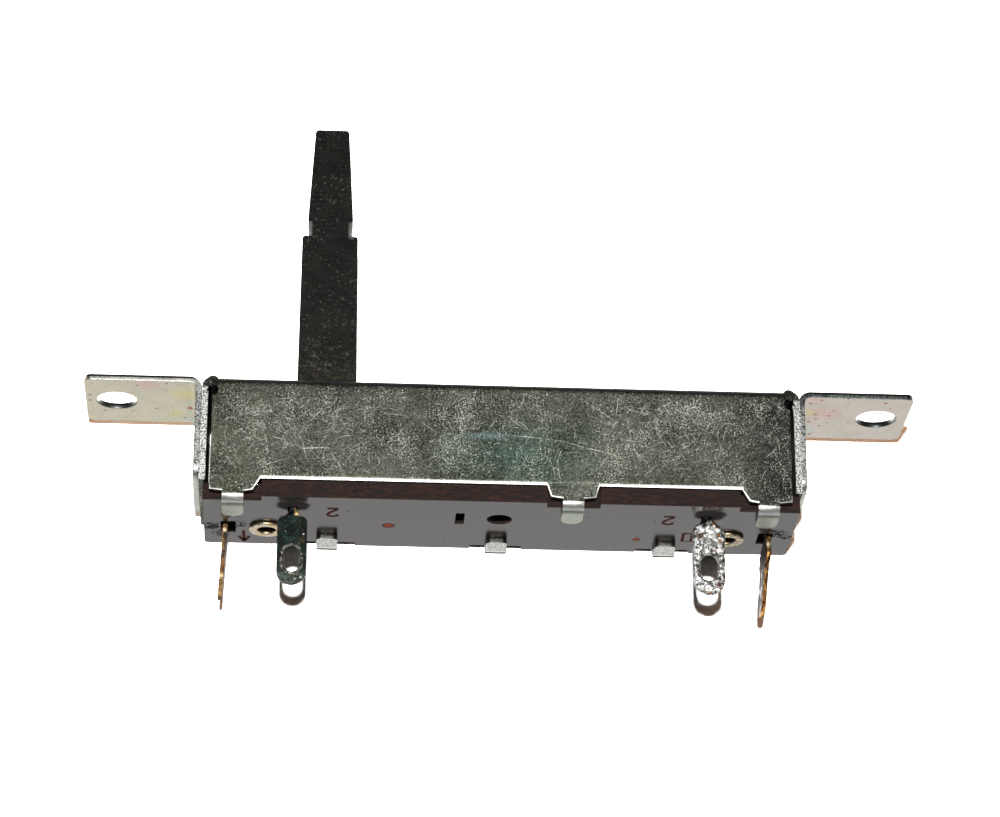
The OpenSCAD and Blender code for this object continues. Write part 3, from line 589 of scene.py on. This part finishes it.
def pinBrass(c):
    m = Finish("pinBrass")
    drawn = m.drawnOut(m.place, (1, 1, 2.4))
    tone = m.noise(drawn, 2.0, 5.0, 0.65)
    gold = m.mix(m.ramp(m.x, -1.0, 1.0), *c["gold"])
    colour = m.mix(m.ramp(tone, 0.40, 0.56), c["brown"], gold)
    dark = m.noise(m.vector("ADD", drawn, (4.0, 1.0, 7.0)), 2.6, 4.0, 0.6)
    colour = m.mix(m.ramp(dark, 0.51, 0.58, 0.0, 0.9), colour, c["dark"])
    copper = m.noise(m.vector("ADD", drawn, (1.0, 5.0, 3.0)), 2.2, 4.0, 0.6)
    colour = m.mix(m.ramp(copper, 0.56, 0.64, 0.0, 0.8), colour, c["copper"])
    # painted glints
    colour = m.over(colour, m.spots(m.place, c["glints"], 0.7, 0.4), 0.85, c["glint"])
    wide = m.ramp(m.size(m.faceX), 0.45, 0.8)
    colour = m.over(colour, wide, 0.93, m.mix(m.ramp(tone, 0.56, 0.64), c["dark"], c["tin"]))
    colour = m.mix(m.ramp(m.z, -10.1, -9.9), colour, c["inside"])
    grit = m.noise(m.place, 8.0, 4.0, 0.7)
    height = m.plus(grit, m.times(tone, 2.0))
    return m.done(colour, m.ramp(grit, 0.3, 0.7, 0.32, 0.5), height, 0.03)


solderFinish = {
    "bright": (0.88, 0.88, 0.86),
    "dull": (0.16, 0.165, 0.15),
    "black": (0.03, 0.03, 0.026),
    "hollowDarkening": 0.48,
    "flux": (0.34, 0.15, 0.04),
    "fluxSpots": (
        (15.55, -2.5, -11.7, 0.16), (16.9, -2.5, -11.6, 0.2), (17.0, -2.5, -12.1, 0.2),
        (16.5, -2.5, -10.7, 0.25), (16.75, -2.5, -11.0, 0.2),
    ),
    "burnt": (0.10, 0.03, 0.015),
    "burntSpots": ((16.9, -2.5, -15.75, 0.33), (17.35, -2.5, -15.0, 0.3), (16.6, -2.5, -13.0, 0.2)),
}

residueFinish = {
    **solderFinish,
    "bright": (0.24, 0.24, 0.19),
    "dull": (0.035, 0.036, 0.028),
    "hollowDarkening": 0.8,
    "flux": (0.08, 0.06, 0.03),
}


def oldSolder(name, c):
    m = Finish(name)
    grit = m.noise(m.place, 2.7, 4.0, 0.74)
    tone = m.noise(m.place, 1.1, 4.0, 0.6)
    cells = m.plus(grit, m.times(m.minus(tone, 0.5), 0.5))
    colour = m.mix(m.ramp(cells, 0.42, 0.54), c["dull"], c["bright"])
    crack = m.curls(m.place, 2.6, 0.05, 0.55)
    colour = m.over(colour, crack, 0.8, c["black"])
    # darker in the hollows of the bump
    hollows = m.ramp(m.plus(grit, m.times(tone, 0.3)), 0.56, 0.5)
    colour = m.over(colour, hollows, c["hollowDarkening"], c["black"])
    for ink in ("flux", "burnt"):
        colour = m.over(colour, m.spots(m.place, c[ink + "Spots"], 0.5, 0.6), 0.85, c[ink])
    flux = m.ramp(m.noise(m.moved(3.0, 3.0, 3.0), 2.6, 4.0, 0.7), 0.6, 0.67, 0.0, 0.8)
    colour = m.mix(flux, colour, c["flux"])
    height = m.plus(grit, m.times(crack, -0.3))
    return m.done(colour, m.ramp(tone, 0.3, 0.7, 0.26, 0.4), height, 0.09)


eyeletFinish = {
    "tin": (0.62, 0.57, 0.46),
    "gold": (0.58, 0.44, 0.24),
    "dark": (0.07, 0.055, 0.04),
    "bore": ((0.03, 0.025, 0.02), (0.50, 0.16, 0.06)),
}


def eyeletTin(c):
    m = Finish("eyeletTin")
    tone = m.noise(m.place, 2.4, 5.0, 0.65)
    colour = m.mix(m.ramp(tone, 0.42, 0.6), c["tin"], c["gold"])
    fine = m.noise(m.place, 6.0, 4.0, 0.75)
    worn = m.plus(fine, m.ramp(m.x, -1.0, 1.0, 0.0, 0.075))
    colour = m.mix(m.ramp(worn, 0.52, 0.62, 0.0, 0.85), colour, c["dark"])
    # the bore: copper, with painted shade where it is dark
    colour = m.mix(m.ramp(m.z, -10.36, -10.25), colour, m.mix(m.ramp(tone, 0.5, 0.6), *c["bore"]))
    colour = m.mix(m.ramp(m.z, -9.0, -8.9), colour, c["tin"])
    return m.done(colour, m.ramp(tone, 0.3, 0.7, 0.26, 0.42), fine, 0.02)


def rolledMetal(name, base, shade, rough):
    m = Finish(name)
    grain = m.noise(m.drawnOut(m.place, (8, 1, 1)), 6.0, 4.0, 0.6)
    colour = m.mix(m.ramp(grain, 0.3, 0.7), base, shade)
    colour = m.over(colour, m.grains(m.place, 5.0, 0.2, 0.8), 0.4, (0.2, 0.15, 0.1))
    return m.done(colour, m.ramp(grain, 0.3, 0.7, rough, rough + 0.12), grain, 0.004)


boardFinish = {
    "face": (0.034, 0.025, 0.024),
    "faceRed": (0.050, 0.028, 0.024),
    "faceDark": (0.012, 0.009, 0.009),
    "edge": (0.014, 0.008, 0.006),
    "fibre": (0.045, 0.016, 0.010),
    "edgeDark": (0.006, 0.004, 0.004),
    "pit": (0.62, 0.10, 0.03),
    "soot": (0.004, 0.004, 0.004),
    "neckShadow": (0.012, 0.008, 0.007),
    # marks on the lower face: X, Y and radius in mm
    "lowerFace": -10.3,
    "pits": ((-8.54, 0.48, 0.42), (10.99, 2.23, 0.26)),
    "dots": (
        (-11.74, -2.30, 0.12), (12.1, -1.6, 0.1), (11.0, 1.6, 0.09), (19.6, 2.9, 0.1),
        (-4.2, 3.1, 0.1), (2.6, 2.4, 0.08), (6.9, -2.2, 0.08),
    ),
    "soots": (
        (-22.3, 1.4, 1.125), (-20.4, 0.9, 1.05), (-21.6, 2.9, 0.9), (-20.9, -1.0, 0.9),
        (21.9, 0.3, 1.05), (22.6, 1.0, 0.75), (21.2, -0.2, 0.75),
    ),
    "neckShadowSpots": ((-15.7, -3.2, 1.2), (16.4, -3.2, 1.25), (-16.3, -3.3, 1.1), (15.9, -3.3, 1.15)),
}


def phenolicBoard(c):
    m = Finish("phenolicBoard")
    low = m.ramp(m.faceZ, -0.5, -0.9)

    def marked(name, softness, ragged, grow=1.0):
        centres = [(px, py, c["lowerFace"], radius * grow) for px, py, radius in c[name]]
        return m.times(m.spots(m.place, centres, softness, ragged), low)

    tone = m.noise(m.place, 0.5, 5.0, 0.6)
    colour = m.mix(m.ramp(tone, 0.35, 0.65), c["face"], c["faceRed"])
    fine = m.noise(m.place, 5.0, 5.0, 0.75)
    weave = m.noise(m.drawnOut(m.place, (5, 1, 1)), 2.4, 4.0, 0.7)
    colour = m.mix(m.ramp(fine, 0.5, 0.75, 0.0, 0.6), colour, c["faceDark"])
    # cut edges show the board's layers
    layers = m.noise(m.drawnOut(m.place, (2.5, 2.5, 0.6)), 2.6, 5.0, 0.8)
    flat = m.ramp(m.size(m.faceZ), 0.5, 0.9)
    edge = m.mix(m.ramp(layers, 0.45, 0.62), c["edge"], c["fibre"])
    edge = m.over(edge, m.grains(m.place, 2.2, 0.4, 0.6), 0.8, c["edgeDark"])
    colour = m.mix(flat, edge, colour)
    height = m.plus(m.times(fine, 0.3), m.times(weave, 0.5))
    height = m.plus(height, m.times(m.minus(1.0, flat), layers))
    # pits, dots, soot scribbled round the end pins, and painted shadow round the lugs' necks
    rims = marked("pits", 0.3, 0.15, 1.4)
    colour = m.mix(rims, colour, c["faceDark"])
    colour = m.mix(marked("pits", 0.3, 0.15), colour, c["pit"])
    dots = marked("dots", 0.4, 0.3)
    height = m.minus(height, m.plus(rims, dots))
    soot = m.times(marked("soots", 0.6, 0.3), m.curls(m.place, 1.4, 0.10, 0.72))
    soot = m.larger(soot, m.times(dots, 0.9))
    colour = m.mix(soot, colour, c["soot"])
    # painted shadow where the lugs hang under the board
    neckShadow = marked("neckShadowSpots", 0.35, 0.1)
    colour = m.over(colour, neckShadow, 0.85, c["neckShadow"])
    matt = m.plus(m.times(fine, 0.12), m.times(tone, 0.1))
    for mask, amount in ((soot, 0.92), (rims, 0.85), (neckShadow, 0.92)):
        matt = m.larger(matt, m.times(mask, amount))
    rough = m.mixValue(flat, 0.95, m.plus(matt, 0.08))
    return m.done(colour, rough, height, 0.006, {"IOR": 1.56})


inkFinish = {"dark": (0.085, 0.020, 0.018), "light": (0.16, 0.06, 0.05)}


def inkMark(c):
    m = Finish("inkMark")
    worn = m.noise(m.place, 5.0, 4.0, 0.7)
    colour = m.mix(m.ramp(worn, 0.4, 0.65), c["dark"], c["light"])
    return m.done(colour, m.ramp(worn, 0.3, 0.7, 0.6, 0.8), others={"Specular IOR Level": 0.05})


def printedFilm(name, base, shade, rough):
    m = Finish(name)
    fine = m.noise(m.place, 7.0, 4.0, 0.7)
    wiped = m.noise(m.drawnOut(m.place, (12, 0.25, 1)), 2.0, 3.0, 0.6)
    colour = m.mix(m.ramp(fine, 0.3, 0.7), base, shade)
    colour = m.mix(m.ramp(wiped, 0.5, 0.7, 0.0, 0.4), colour, shade)
    return m.done(colour, m.ramp(fine, 0.3, 0.7, rough, rough + 0.15), fine, 0.003, {})


leverFinish = {
    "base": (0.0012, 0.0022, 0.0014),
    "light": (0.0115, 0.0150, 0.0115),
    "speck": (0.16, 0.18, 0.15),
    "dust": (0.12, 0.085, 0.04),
    "nickAndSheen": (0.42, 0.43, 0.42),
    "middle": -13.6,
    # pale nicks, and a painted sheen on facets, at the edges: from the middle, and the two heights over the ears, in
    # mm
    "nicks": ((1.50, 22.9, 21.6), (1.92, 19.4, 18.8), (2.05, 16.5, 15.9)),
    "nickLean": 0.06,
    "facetSheen": ((-1.72, 15.0, 14.2), (1.72, 15.0, 13.9)),
}


def leverPlastic(c):
    m = Finish("leverPlastic")

    def edgeLines(marks, lean):
        return [((c["middle"] + px, high), (c["middle"] + px + lean, low)) for px, high, low in marks]

    tone = m.noise(m.place, 0.6, 5.0, 0.65)
    grit = m.noise(m.place, 5.0, 4.0, 0.75)
    mixed = m.plus(m.times(grit, 0.6), m.times(tone, 0.4))
    colour = m.mix(m.ramp(mixed, 0.43, 0.6), c["base"], c["light"])
    lines = m.noise(m.drawnOut(m.place, (6, 6, 0.6)), 3.0, 4.0, 0.65)
    colour = m.mix(m.ramp(lines, 0.52, 0.7, 0.0, 0.6), colour, c["light"])
    colour = m.over(colour, m.grains(m.place, 4.6, 0.33, 0.4), 0.5, c["speck"])
    dusty = m.ramp(m.noise(m.place, 4.5, 5.0, 0.78), 0.5, 0.62)
    dusty = m.times(m.ramp(m.z, 6.0, -0.5, 0.1, 1.0), dusty)
    colour = m.over(colour, dusty, 0.5, c["dust"])
    nicksAndFacetSheen = m.strokes(m.place, edgeLines(c["nicks"], c["nickLean"]), -1.0, 0.34)
    nicksAndFacetSheen = m.times(nicksAndFacetSheen, m.ramp(grit, 0.4, 0.55, 0.2, 1.0))
    # painted sheen on the facets
    facetSheen = m.strokes(m.place, edgeLines(c["facetSheen"], 0.0), -0.8, 0.7)
    nicksAndFacetSheen = m.larger(nicksAndFacetSheen, m.times(facetSheen, 0.55))
    colour = m.over(colour, nicksAndFacetSheen, 0.7, c["nickAndSheen"])
    height = m.minus(m.plus(m.times(lines, 0.6), grit), nicksAndFacetSheen)
    others = {"Specular IOR Level": 0.17}
    return m.done(colour, m.ramp(tone, 0.3, 0.7, 0.42, 0.56), height, 0.045, others)


materials = {
    "coverSteel": coverSteel(coverFinish),
    "scratchedSteel": scratchedSteel(scratchFinish),
    "bracketSteel": bracketSteel(bracketFinish),
    "darkBrass": darkBrass(lugFinish),
    "pinBrass": pinBrass(pinFinish),
    "oldSolder": oldSolder("oldSolder", solderFinish),
    "burntSolder": oldSolder("burntSolder", residueFinish),
    "eyeletTin": eyeletTin(eyeletFinish),
    "phenolicBoard": phenolicBoard(boardFinish),
    "inkMark": inkMark(inkFinish),
    "leverPlastic": leverPlastic(leverFinish),
    "carbonFilm": printedFilm("carbonFilm", (0.010, 0.010, 0.011), (0.022, 0.022, 0.023), 0.38),
    "silverFilm": printedFilm("silverFilm", (0.42, 0.42, 0.40), (0.30, 0.29, 0.26), 0.35),
    "wiperBronze": rolledMetal("wiperBronze", (0.66, 0.42, 0.20), (0.52, 0.32, 0.15), 0.24),
    "springSteel": rolledMetal("springSteel", (0.48, 0.49, 0.50), (0.38, 0.38, 0.38), 0.26),
}
print("materials built:", len(materials))


def dress(obj, materialName):
    slots = obj.data.materials
    slots.clear()
    slots.append(materials[materialName])
    for face in obj.data.polygons:
        face.material_index = 0


# The node's own shape with its loose triangles joined.
def joinedCopy(node):
    bm = bmesh.new()
    bm.from_mesh(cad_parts[node].data)
    bmesh.ops.remove_doubles(bm, verts=bm.verts, dist=0.0002 * mm)
    bmesh.ops.dissolve_limit(bm, angle_limit=math.radians(0.8), verts=bm.verts, edges=bm.edges)
    bm.normal_update()
    return bm


def breakEdges(bm, size, segments=2, angle=32):
    sharp = [e for e in bm.edges if len(e.link_faces) == 2 and e.calc_face_angle(0) > math.radians(angle)]
    bmesh.ops.bevel(
        bm, geom=sharp, offset=size * mm, offset_type="OFFSET", segments=segments, profile=0.5,
        affect="EDGES", clamp_overlap=True, material=-1,
    )


def addPiece(bm, piece, materialName, slotName, body, *nodes, smooth=40):
    mesh = bpy.data.meshes.new(piece)
    bm.to_mesh(mesh)
    bm.free()
    for face in mesh.polygons:
        face.use_smooth = True
    mesh.set_sharp_from_angle(angle=math.radians(smooth))
    obj = bpy.data.objects.new(piece, mesh)
    bpy.context.collection.objects.link(obj)
    dress(obj, materialName)
    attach(obj, body)
    if nodes:
        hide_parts(*nodes)
    print("piece:", piece, len(mesh.polygons), "faces")
    return obj


def keepEven(obj):
    weighted = obj.modifiers.new("evenNormals", "WEIGHTED_NORMAL")
    weighted.keep_sharp = True
    weighted.weight = 80


# A grid of faces whose points go where place(u, v) says, in mm. Its seams are closed.
def sheet(bm, across, along, place):
    made = bmesh.ops.create_grid(bm, x_segments=across, y_segments=along, size=1.0)["verts"]
    for vert in made:
        vert.co = Vector(place(vert.co.x / 2 + 0.5, vert.co.y / 2 + 0.5)) * mm
    bmesh.ops.remove_doubles(bm, verts=made, dist=0.001 * mm)


# In mm and square mm.
coverShape = {
    "edge": 0.045,  # how wide the broken edges are
    "sink": 0.012,  # how far the walls' faces stay inside the solid's
    "wall": 4.9,  # the walls' outer faces lie beyond this
    "slit": (22.3, 22.5),  # where the walls end, beside the slits
    "slitZ": (-9.5, -1.0),
    "farEnd": 0.34,  # how much longer the far wall is at each end
    "low": -8.78,  # the walls' straight lower edges
    "cutTop": 0.58,  # how far over them the cuts at their ends reach
    # rows of the rolled rims: height over the lower edge, and how far the row's lower side turns in
    "rows": ((0.38, 0.0), (0.22, 0.014), (0.0, 0.08)),
    "footZ": -9.87,  # the feet's lowest edge
    "foot": (0.17, 0.06),  # a foot's rim: width and how far it turns in
    "flatArea": 60,  # faces over this area keep one normal each
}


# The walls' straight lower edges turn in a little, as sheared sheet does.
def rollRims(bm, c):
    lowest = c["low"] * mm
    for side in (-1, 1):
        facing = [f for f in bm.faces if f.normal.y * side > 0.99]
        wall = max(
            (f for f in facing if f.calc_center_median().y * side > c["wall"] * mm), key=lambda f: f.calc_area()
        )
        cuts = sorted({round(v.co.x / mm, 3) for v in wall.verts if abs(v.co.z - lowest) < 0.02 * mm})
        parts = [wall]

        def cut(place, normal, under):
            geom = [f for f in parts if f.calc_center_median().z < under * mm]
            geom += [e for f in geom for e in f.edges] + [v for f in geom for v in f.verts]
            made = bmesh.ops.bisect_plane(
                bm, geom=list(dict.fromkeys(geom)), dist=0.0005 * mm, plane_co=Vector(place) * mm, plane_no=normal
            )["geom"]
            parts.extend(f for f in made if isinstance(f, bmesh.types.BMFace) and f not in parts)

        for over, turnIn in c["rows"][:-1]:
            cut((0, 0, c["low"] + over), (0, 0, 1), 0)
        for x in cuts:
            cut((x, 0, 0), (1, 0, 0), c["low"] + c["cutTop"])
        for over, turnIn in c["rows"]:
            level = lowest + over * mm
            for vert in {v for f in parts for v in f.verts}:
                beside = cuts[0] - 0.01 < vert.co.x / mm < cuts[-1] + 0.01
                if not beside or abs(vert.co.z - level) > 0.012 * mm:
                    continue
                if over == 0 or any(abs(e.other_vert(vert).co.z - vert.co.z) < 0.001 * mm for e in vert.link_edges):
                    vert.co.y -= side * turnIn * mm
        if side > 0:
            continue
        width, turnIn = c["foot"]
        for foot in [f for f in parts if min(v.co.z for v in f.verts) < -9.8 * mm]:
            bmesh.ops.inset_region(
                bm, faces=[foot], thickness=width * mm, use_even_offset=True, use_boundary=True
            )
            inner = set(foot.verts)
            for vert in {v for e in foot.edges for f in e.link_faces for v in f.verts} - inner:
                if c["footZ"] * mm < vert.co.z < lowest - 0.1 * mm:
                    vert.co.y += turnIn * mm
    for vert in bm.verts:
        if abs(vert.co.y) > 4.99 * mm:
            vert.co.y -= math.copysign(c["sink"] * mm, vert.co.y)
    bm.normal_update()


# The big flat faces keep one normal each, right up to their edges.
def keepFlat(mesh, area):
    wanted = {key for face in mesh.polygons if face.area > area * mm**2 for key in face.edge_keys}
    for edge in mesh.edges:
        if edge.key in wanted:
            edge.use_edge_sharp = True


def makeCover(c):
    bm = joinedCopy("cover")
    # the far wall nearly closes its slits to the end flaps
    (near, far), (low, high) = c["slit"], c["slitZ"]
    for vert in bm.verts:
        x, y, z = vert.co / mm
        if y > 4.5 and low < z < high and near < abs(x) < far:
            vert.co.x += math.copysign(c["farEnd"], x) * mm
    rollRims(bm, c)
    breakEdges(bm, c["edge"])
    cover = addPiece(bm, "foldedCover", "coverSteel", "cover_steel", "housing", "cover")
    keepFlat(cover.data, c["flatArea"])
    keepEven(cover)


makeCover(coverShape)

# Node, piece, material, slot, body, and how wide the broken edges are in mm.
for node, piece, materialName, slotName, body, edge in (
    ("ear_bracket_left", "leftEar", "bracketSteel", "bracket_steel", "housing", 0.07),
    ("ear_bracket_right", "rightEar", "bracketSteel", "bracket_steel", "housing", 0.07),
    ("base_board", "punchedBoard", "phenolicBoard", "board", "housing", 0.035),
    ("collector_rail", "railAndLugs", "darkBrass", "dark_brass", "housing", 0.05),
    ("end_terminal_left", "leftPin", "pinBrass", "terminal_brass", "housing", 0.05),
    ("end_terminal_right", "rightPin", "pinBrass", "terminal_brass", "housing", 0.05),
    ("slider_lever", "leverMoulding", "leverPlastic", "lever_plastic", "slider", 0.1),
):
    copied = joinedCopy(node)
    breakEdges(copied, edge)
    keepEven(addPiece(copied, piece, materialName, slotName, body, node))


# The wide lugs, in mm: the blade, taken from its middle line, and its wire hole.
lugShape = {
    "y": -2.25,
    "width": 2.3,
    "top": -10.8,
    "tip": -16.4,
    "corner": 0.6,
    "hole": (1.6, 2.35),
    "holeZ": -14.275,
}


# Whether a point is on the blade grown by some mm.
def onBlade(c, x, z, grow):
    half = c["width"] / 2
    tipZ = c["tip"] + half
    if z < tipZ:
        return math.hypot(x, z - tipZ) < half + grow
    cornerZ, cornerX = c["top"] - c["corner"], half - c["corner"]
    if z > cornerZ and abs(x) > cornerX:
        return math.hypot(abs(x) - cornerX, z - cornerZ) < c["corner"] + grow
    return abs(x) < half + grow and z < c["top"] + grow


def inHole(c, x, z, grow):
    half = c["hole"][0] / 2
    straight = c["hole"][1] / 2 - half
    off = max(abs(z - c["holeZ"]) - straight, 0)
    return math.hypot(x, off) < half + grow


# How far from the hole's middle a test stops being true, along an angle.
def reach(angle, holeZ, test):
    low, high = 0.0, 6.0
    for _ in range(26):
        middle = (low + high) / 2
        if test(middle * math.cos(angle), holeZ + middle * math.sin(angle)):
            low = middle
        else:
            high = middle
    return low


# In mm, apart from the counts of faces around the hole and over the ring.
solderShape = {
    "middle": 16.15,
    "around": 168,
    "over": 56,
    "half": 0.285,  # half the ring's thickness
    "grow": 0.085,  # how far it stands over the blade's edge
    "hole": -0.09,  # how far it stays outside the hole's edge
    "lumps": 0.075,
    "neckZ": (-11.75, -10.32),
    "neckWide": (1.12, 0.50),
    "neckDeep": (0.30, 0.46),
}


# A rounded ring of solder between the hole and the blade's edge.
def solderRing(bm, lug, c, outer, inner, half):
    def place(u, v):
        angle = 2 * math.pi * u
        out, back = outer(angle), inner(angle)
        turn = 2 * math.pi * v
        across = math.copysign(abs(math.cos(turn)) ** 0.45, math.cos(turn))
        deep = math.copysign(abs(math.sin(turn)) ** 0.45, math.sin(turn))
        far = (out + back) / 2 + (out - back) / 2 * across
        return c["middle"] + far * math.cos(angle), lug["y"] - half(angle) * deep, lug["holeZ"] + far * math.sin(angle)

    sheet(bm, c["around"], c["over"], place)


def makeLugSolder(lug, c):
    bm = bmesh.new()
    solderRing(
        bm, lug, c,
        lambda a: reach(a, lug["holeZ"], lambda x, z: onBlade(lug, x, z, c["grow"])),
        lambda a: reach(a, lug["holeZ"], lambda x, z: inHole(lug, x, z, c["hole"])),
        lambda a: c["half"],
    )

    # a cone of solder that climbs the neck
    def neck(u, v):
        turn = 2 * math.pi * u
        width = math.sin(math.pi * min(max(v, 0.0), 1.0)) ** 0.22
        wide, deep, z = (low + (high - low) * v for low, high in (c["neckWide"], c["neckDeep"], c["neckZ"]))
        return (
            c["middle"] + 0.06 + wide * width * math.cos(turn),
            lug["y"] + deep * width * math.sin(turn),
            z,
        )

    sheet(bm, 40, 16, neck)
    bm.normal_update()
    for vert in bm.verts:
        where = vert.co / mm
        lump = noise.noise(where * 1.9) * 0.8 + noise.noise(where * 4.3) * 0.55 + noise.noise(where * 9.0) * 0.3
        vert.co += vert.normal * c["lumps"] * lump * mm
    bmesh.ops.recalc_face_normals(bm, faces=bm.faces)
    addPiece(bm, "lugSolder", "oldSolder", "solder", "housing", "lug_solder", smooth=70)


makeLugSolder(lugShape, solderShape)

residueShape = {"middle": -16.0, "around": 120, "over": 20, "half": 0.2, "lumps": 0.03}


def makeResidue(lug, c):
    bm = bmesh.new()

    def lowShare(angle):
        return 0.5 - 0.5 * math.sin(angle)

    def inner(angle):
        x, z = math.cos(angle), math.sin(angle)
        return reach(angle, lug["holeZ"], lambda px, pz: inHole(lug, px, pz, -0.06 - 0.12 * abs(x)))

    def outer(angle):
        wave = 0.06 * noise.noise(Vector((math.cos(angle), math.sin(angle), 3.0)) * 2.2)
        return reach(angle, lug["holeZ"], lambda px, pz: inHole(lug, px, pz, 0.05 + 0.16 * lowShare(angle) + wave))

    solderRing(bm, lug, c, outer, inner, lambda a: c["half"] + 0.02 * lowShare(a))
    bm.normal_update()
    for vert in bm.verts:
        vert.co += vert.normal * c["lumps"] * noise.noise(vert.co / mm * 4.0) * mm
    bmesh.ops.recalc_face_normals(bm, faces=bm.faces)
    addPiece(bm, "lugResidue", "burntSolder", "solder", "housing", smooth=70)


makeResidue(lugShape, residueShape)


# Stamped marks on the board's lower face: lines of X and Y in mm, a 2 about its middle.
markSet = {
    "z": -10.306,
    "width": 0.25,
    "stretch": 1.35,
    "two": (
        (-0.40, 0.40), (-0.30, 0.72), (0.0, 0.85), (0.30, 0.72), (0.40, 0.42),
        (0.26, 0.10), (-0.36, -0.62), (-0.40, -0.78), (0.42, -0.78),
    ),
    "twoPlaces": ((-12.92, -2.03), (13.1, -1.95)),
    "arrow": (((-19.82, 2.24), (-19.78, 4.4)), ((-20.2, 3.4), (-19.78, 4.5)), ((-19.36, 3.4), (-19.78, 4.5))),
    "box": (((14.55, 0.75), (15.25, 0.75), (15.3, 2.4), (14.6, 2.4), (14.55, 0.75)),),
}


# A flat stroke along points in a plane. onPlane turns its two coordinates into a place in mm.
def paintLine(bm, points, width, onPlane, stretch=1.0, taper=0.0):
    count = len(points) - 1

    def place(u, v):
        at = min(round(u * count), count)
        before, after = Vector(points[max(at - 1, 0)]), Vector(points[min(at + 1, count)])
        along = (after - before).normalized()
        half = width * (v - 0.5) * (1 - taper * abs(2 * u - 1) ** 2)
        return onPlane(points[at][0] - along.y * half, points[at][1] + along.x * half * stretch)

    sheet(bm, count, 1, place)


def turnFaces(bm, axis, sign):
    bm.normal_update()
    bmesh.ops.reverse_faces(bm, faces=[f for f in bm.faces if f.normal[axis] * sign < 0])


def makeMarks(c):
    bm = bmesh.new()
    lines = [[(x - gx, y + gy) for gx, gy in c["two"]] for x, y in c["twoPlaces"]]
    for line in lines + list(c["arrow"] + c["box"]):
        paintLine(bm, line, c["width"], lambda x, y: (x, y, c["z"]), c["stretch"])
    turnFaces(bm, 2, -1)
    addPiece(bm, "boardMarks", "inkMark", "board", "housing")


makeMarks(markSet)


# Scratches on the near wall, in mm.
scratchSet = {
    "y": -4.997,
    "deepWidth": 0.10,
    "fineWidth": 0.065,
    "hairs": 520,
    "hairWidth": (0.03, 0.05),
    "hairLength": (0.35, 1.9),
    "hairSteps": 5,
    "wall": ((-22.35, -8.25), (22.35, -1.2)),  # two corners, X and Z
    "seed": 11,
    # lines of X and Z
    "deep": (
        ((-15.6, -6.26), (-15.1, -6.24), (-14.2, -6.16), (-13.3, -6.14)),
        ((-11.34, -4.87), (-10.39, -4.68)),
        ((5.98, -3.81), (6.27, -3.4)),
        ((-16.0, -4.95), (-15.5, -5.1)),
    ),
    "fine": (
        (
            (-22.15, -4.47), (-21.3, -3.95), (-20.49, -3.63), (-19.41, -3.27),
            (-17.94, -3.16), (-17.41, -3.58), (-16.74, -3.53),
        ),
        ((-19.41, -3.27), (-18.47, -2.61), (-18.38, -3.05)),
        ((-12.49, -3.17), (-11.82, -3.52)),
        ((-13.15, -6.62), (-12.6, -7.4), (-12.01, -8.34)),
        ((-15.9, -5.03), (-15.37, -5.57), (-15.2, -6.52), (-14.96, -7.22)),
        ((-18.64, -4.37), (-18.17, -5.48), (-17.99, -6.59)),
        ((-21.41, -4.93), (-21.07, -6.36)),
        ((-6.88, -2.93), (-5.97, -4.03), (-5.08, -4.66)),
        ((-0.18, -4.7), (2.04, -4.85), (4.7, -5.13), (6.19, -5.58), (8.1, -6.01), (9.28, -6.45)),
        ((8.98, -1.56), (8.95, -2.2), (8.8, -2.93), (8.42, -4.24), (8.71, -5.03)),
        ((6.36, -1.7), (7.55, -2.48), (8.73, -3.34), (10.5, -4.18)),
        ((4.55, -5.94), (4.26, -6.75), (4.4, -8.02), (4.6, -8.6)),
        ((3.52, -6.44), (3.96, -7.39), (4.1, -8.4)),
        ((1.45, -6.98), (2.26, -7.59), (3.37, -7.41)),
        ((21.04, -5.51), (21.46, -6.46), (21.88, -7.24), (21.7, -8.2)),
        ((20.04, -3.93), (20.62, -4.48)),
    ),
    # where hairs crowd: X, Z, spread in mm, share
    "crowds": ((13.2, -4.4, 2.2, 0.2), (-17.5, -4.0, 3.2, 0.25), (10.5, -2.2, 2.0, 0.07)),
}


def makeScratches(c):
    rand = Random(c["seed"])
    steps = c["hairSteps"]
    (left, low), (right, high) = c["wall"]
    bm = bmesh.new()

    def onWall(x, z):
        return x, c["y"], z

    for line in c["deep"]:
        paintLine(bm, line, c["deepWidth"], onWall, taper=0.7)
    for line in c["fine"]:
        paintLine(bm, line, c["fineWidth"], onWall, taper=0.5)
    for _ in range(c["hairs"]):
        x, z = rand.uniform(-22.2, 22.3), rand.uniform(-8.2, -1.3)
        pick = rand.random()
        for crowdX, crowdZ, spread, share in c["crowds"]:
            if pick < share:
                x, z = rand.gauss(crowdX, spread), rand.gauss(crowdZ, spread * 0.7)
                break
            pick -= share
        length, turn, bend = rand.uniform(*c["hairLength"]), rand.uniform(0, math.pi), rand.gauss(0, 0.7)
        line = [(x, z)]
        for step in range(steps):
            angle = turn + bend * (step / (steps - 1) - 0.5)
            x, z = x + length / steps * math.cos(angle), z + length / steps * math.sin(angle)
            line.append((x, z))
        if all(left < px < right and low < pz < high for px, pz in line):
            paintLine(bm, line, rand.uniform(*c["hairWidth"]), onWall, taper=0.6)
    turnFaces(bm, 1, -1)
    addPiece(bm, "wallScratches", "scratchedSteel", "cover_steel", "housing")


makeScratches(scratchSet)

for node, materialName in (
    ("carbon_track", "carbonFilm"), ("track_pad_left", "silverFilm"), ("track_pad_right", "silverFilm"),
    ("wiper_contact", "wiperBronze"), ("friction_spring", "springSteel"),
    ("eyelet_left", "eyeletTin"), ("eyelet_right", "eyeletTin"),
):
    dress(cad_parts[node], materialName)
print("pieces placed")
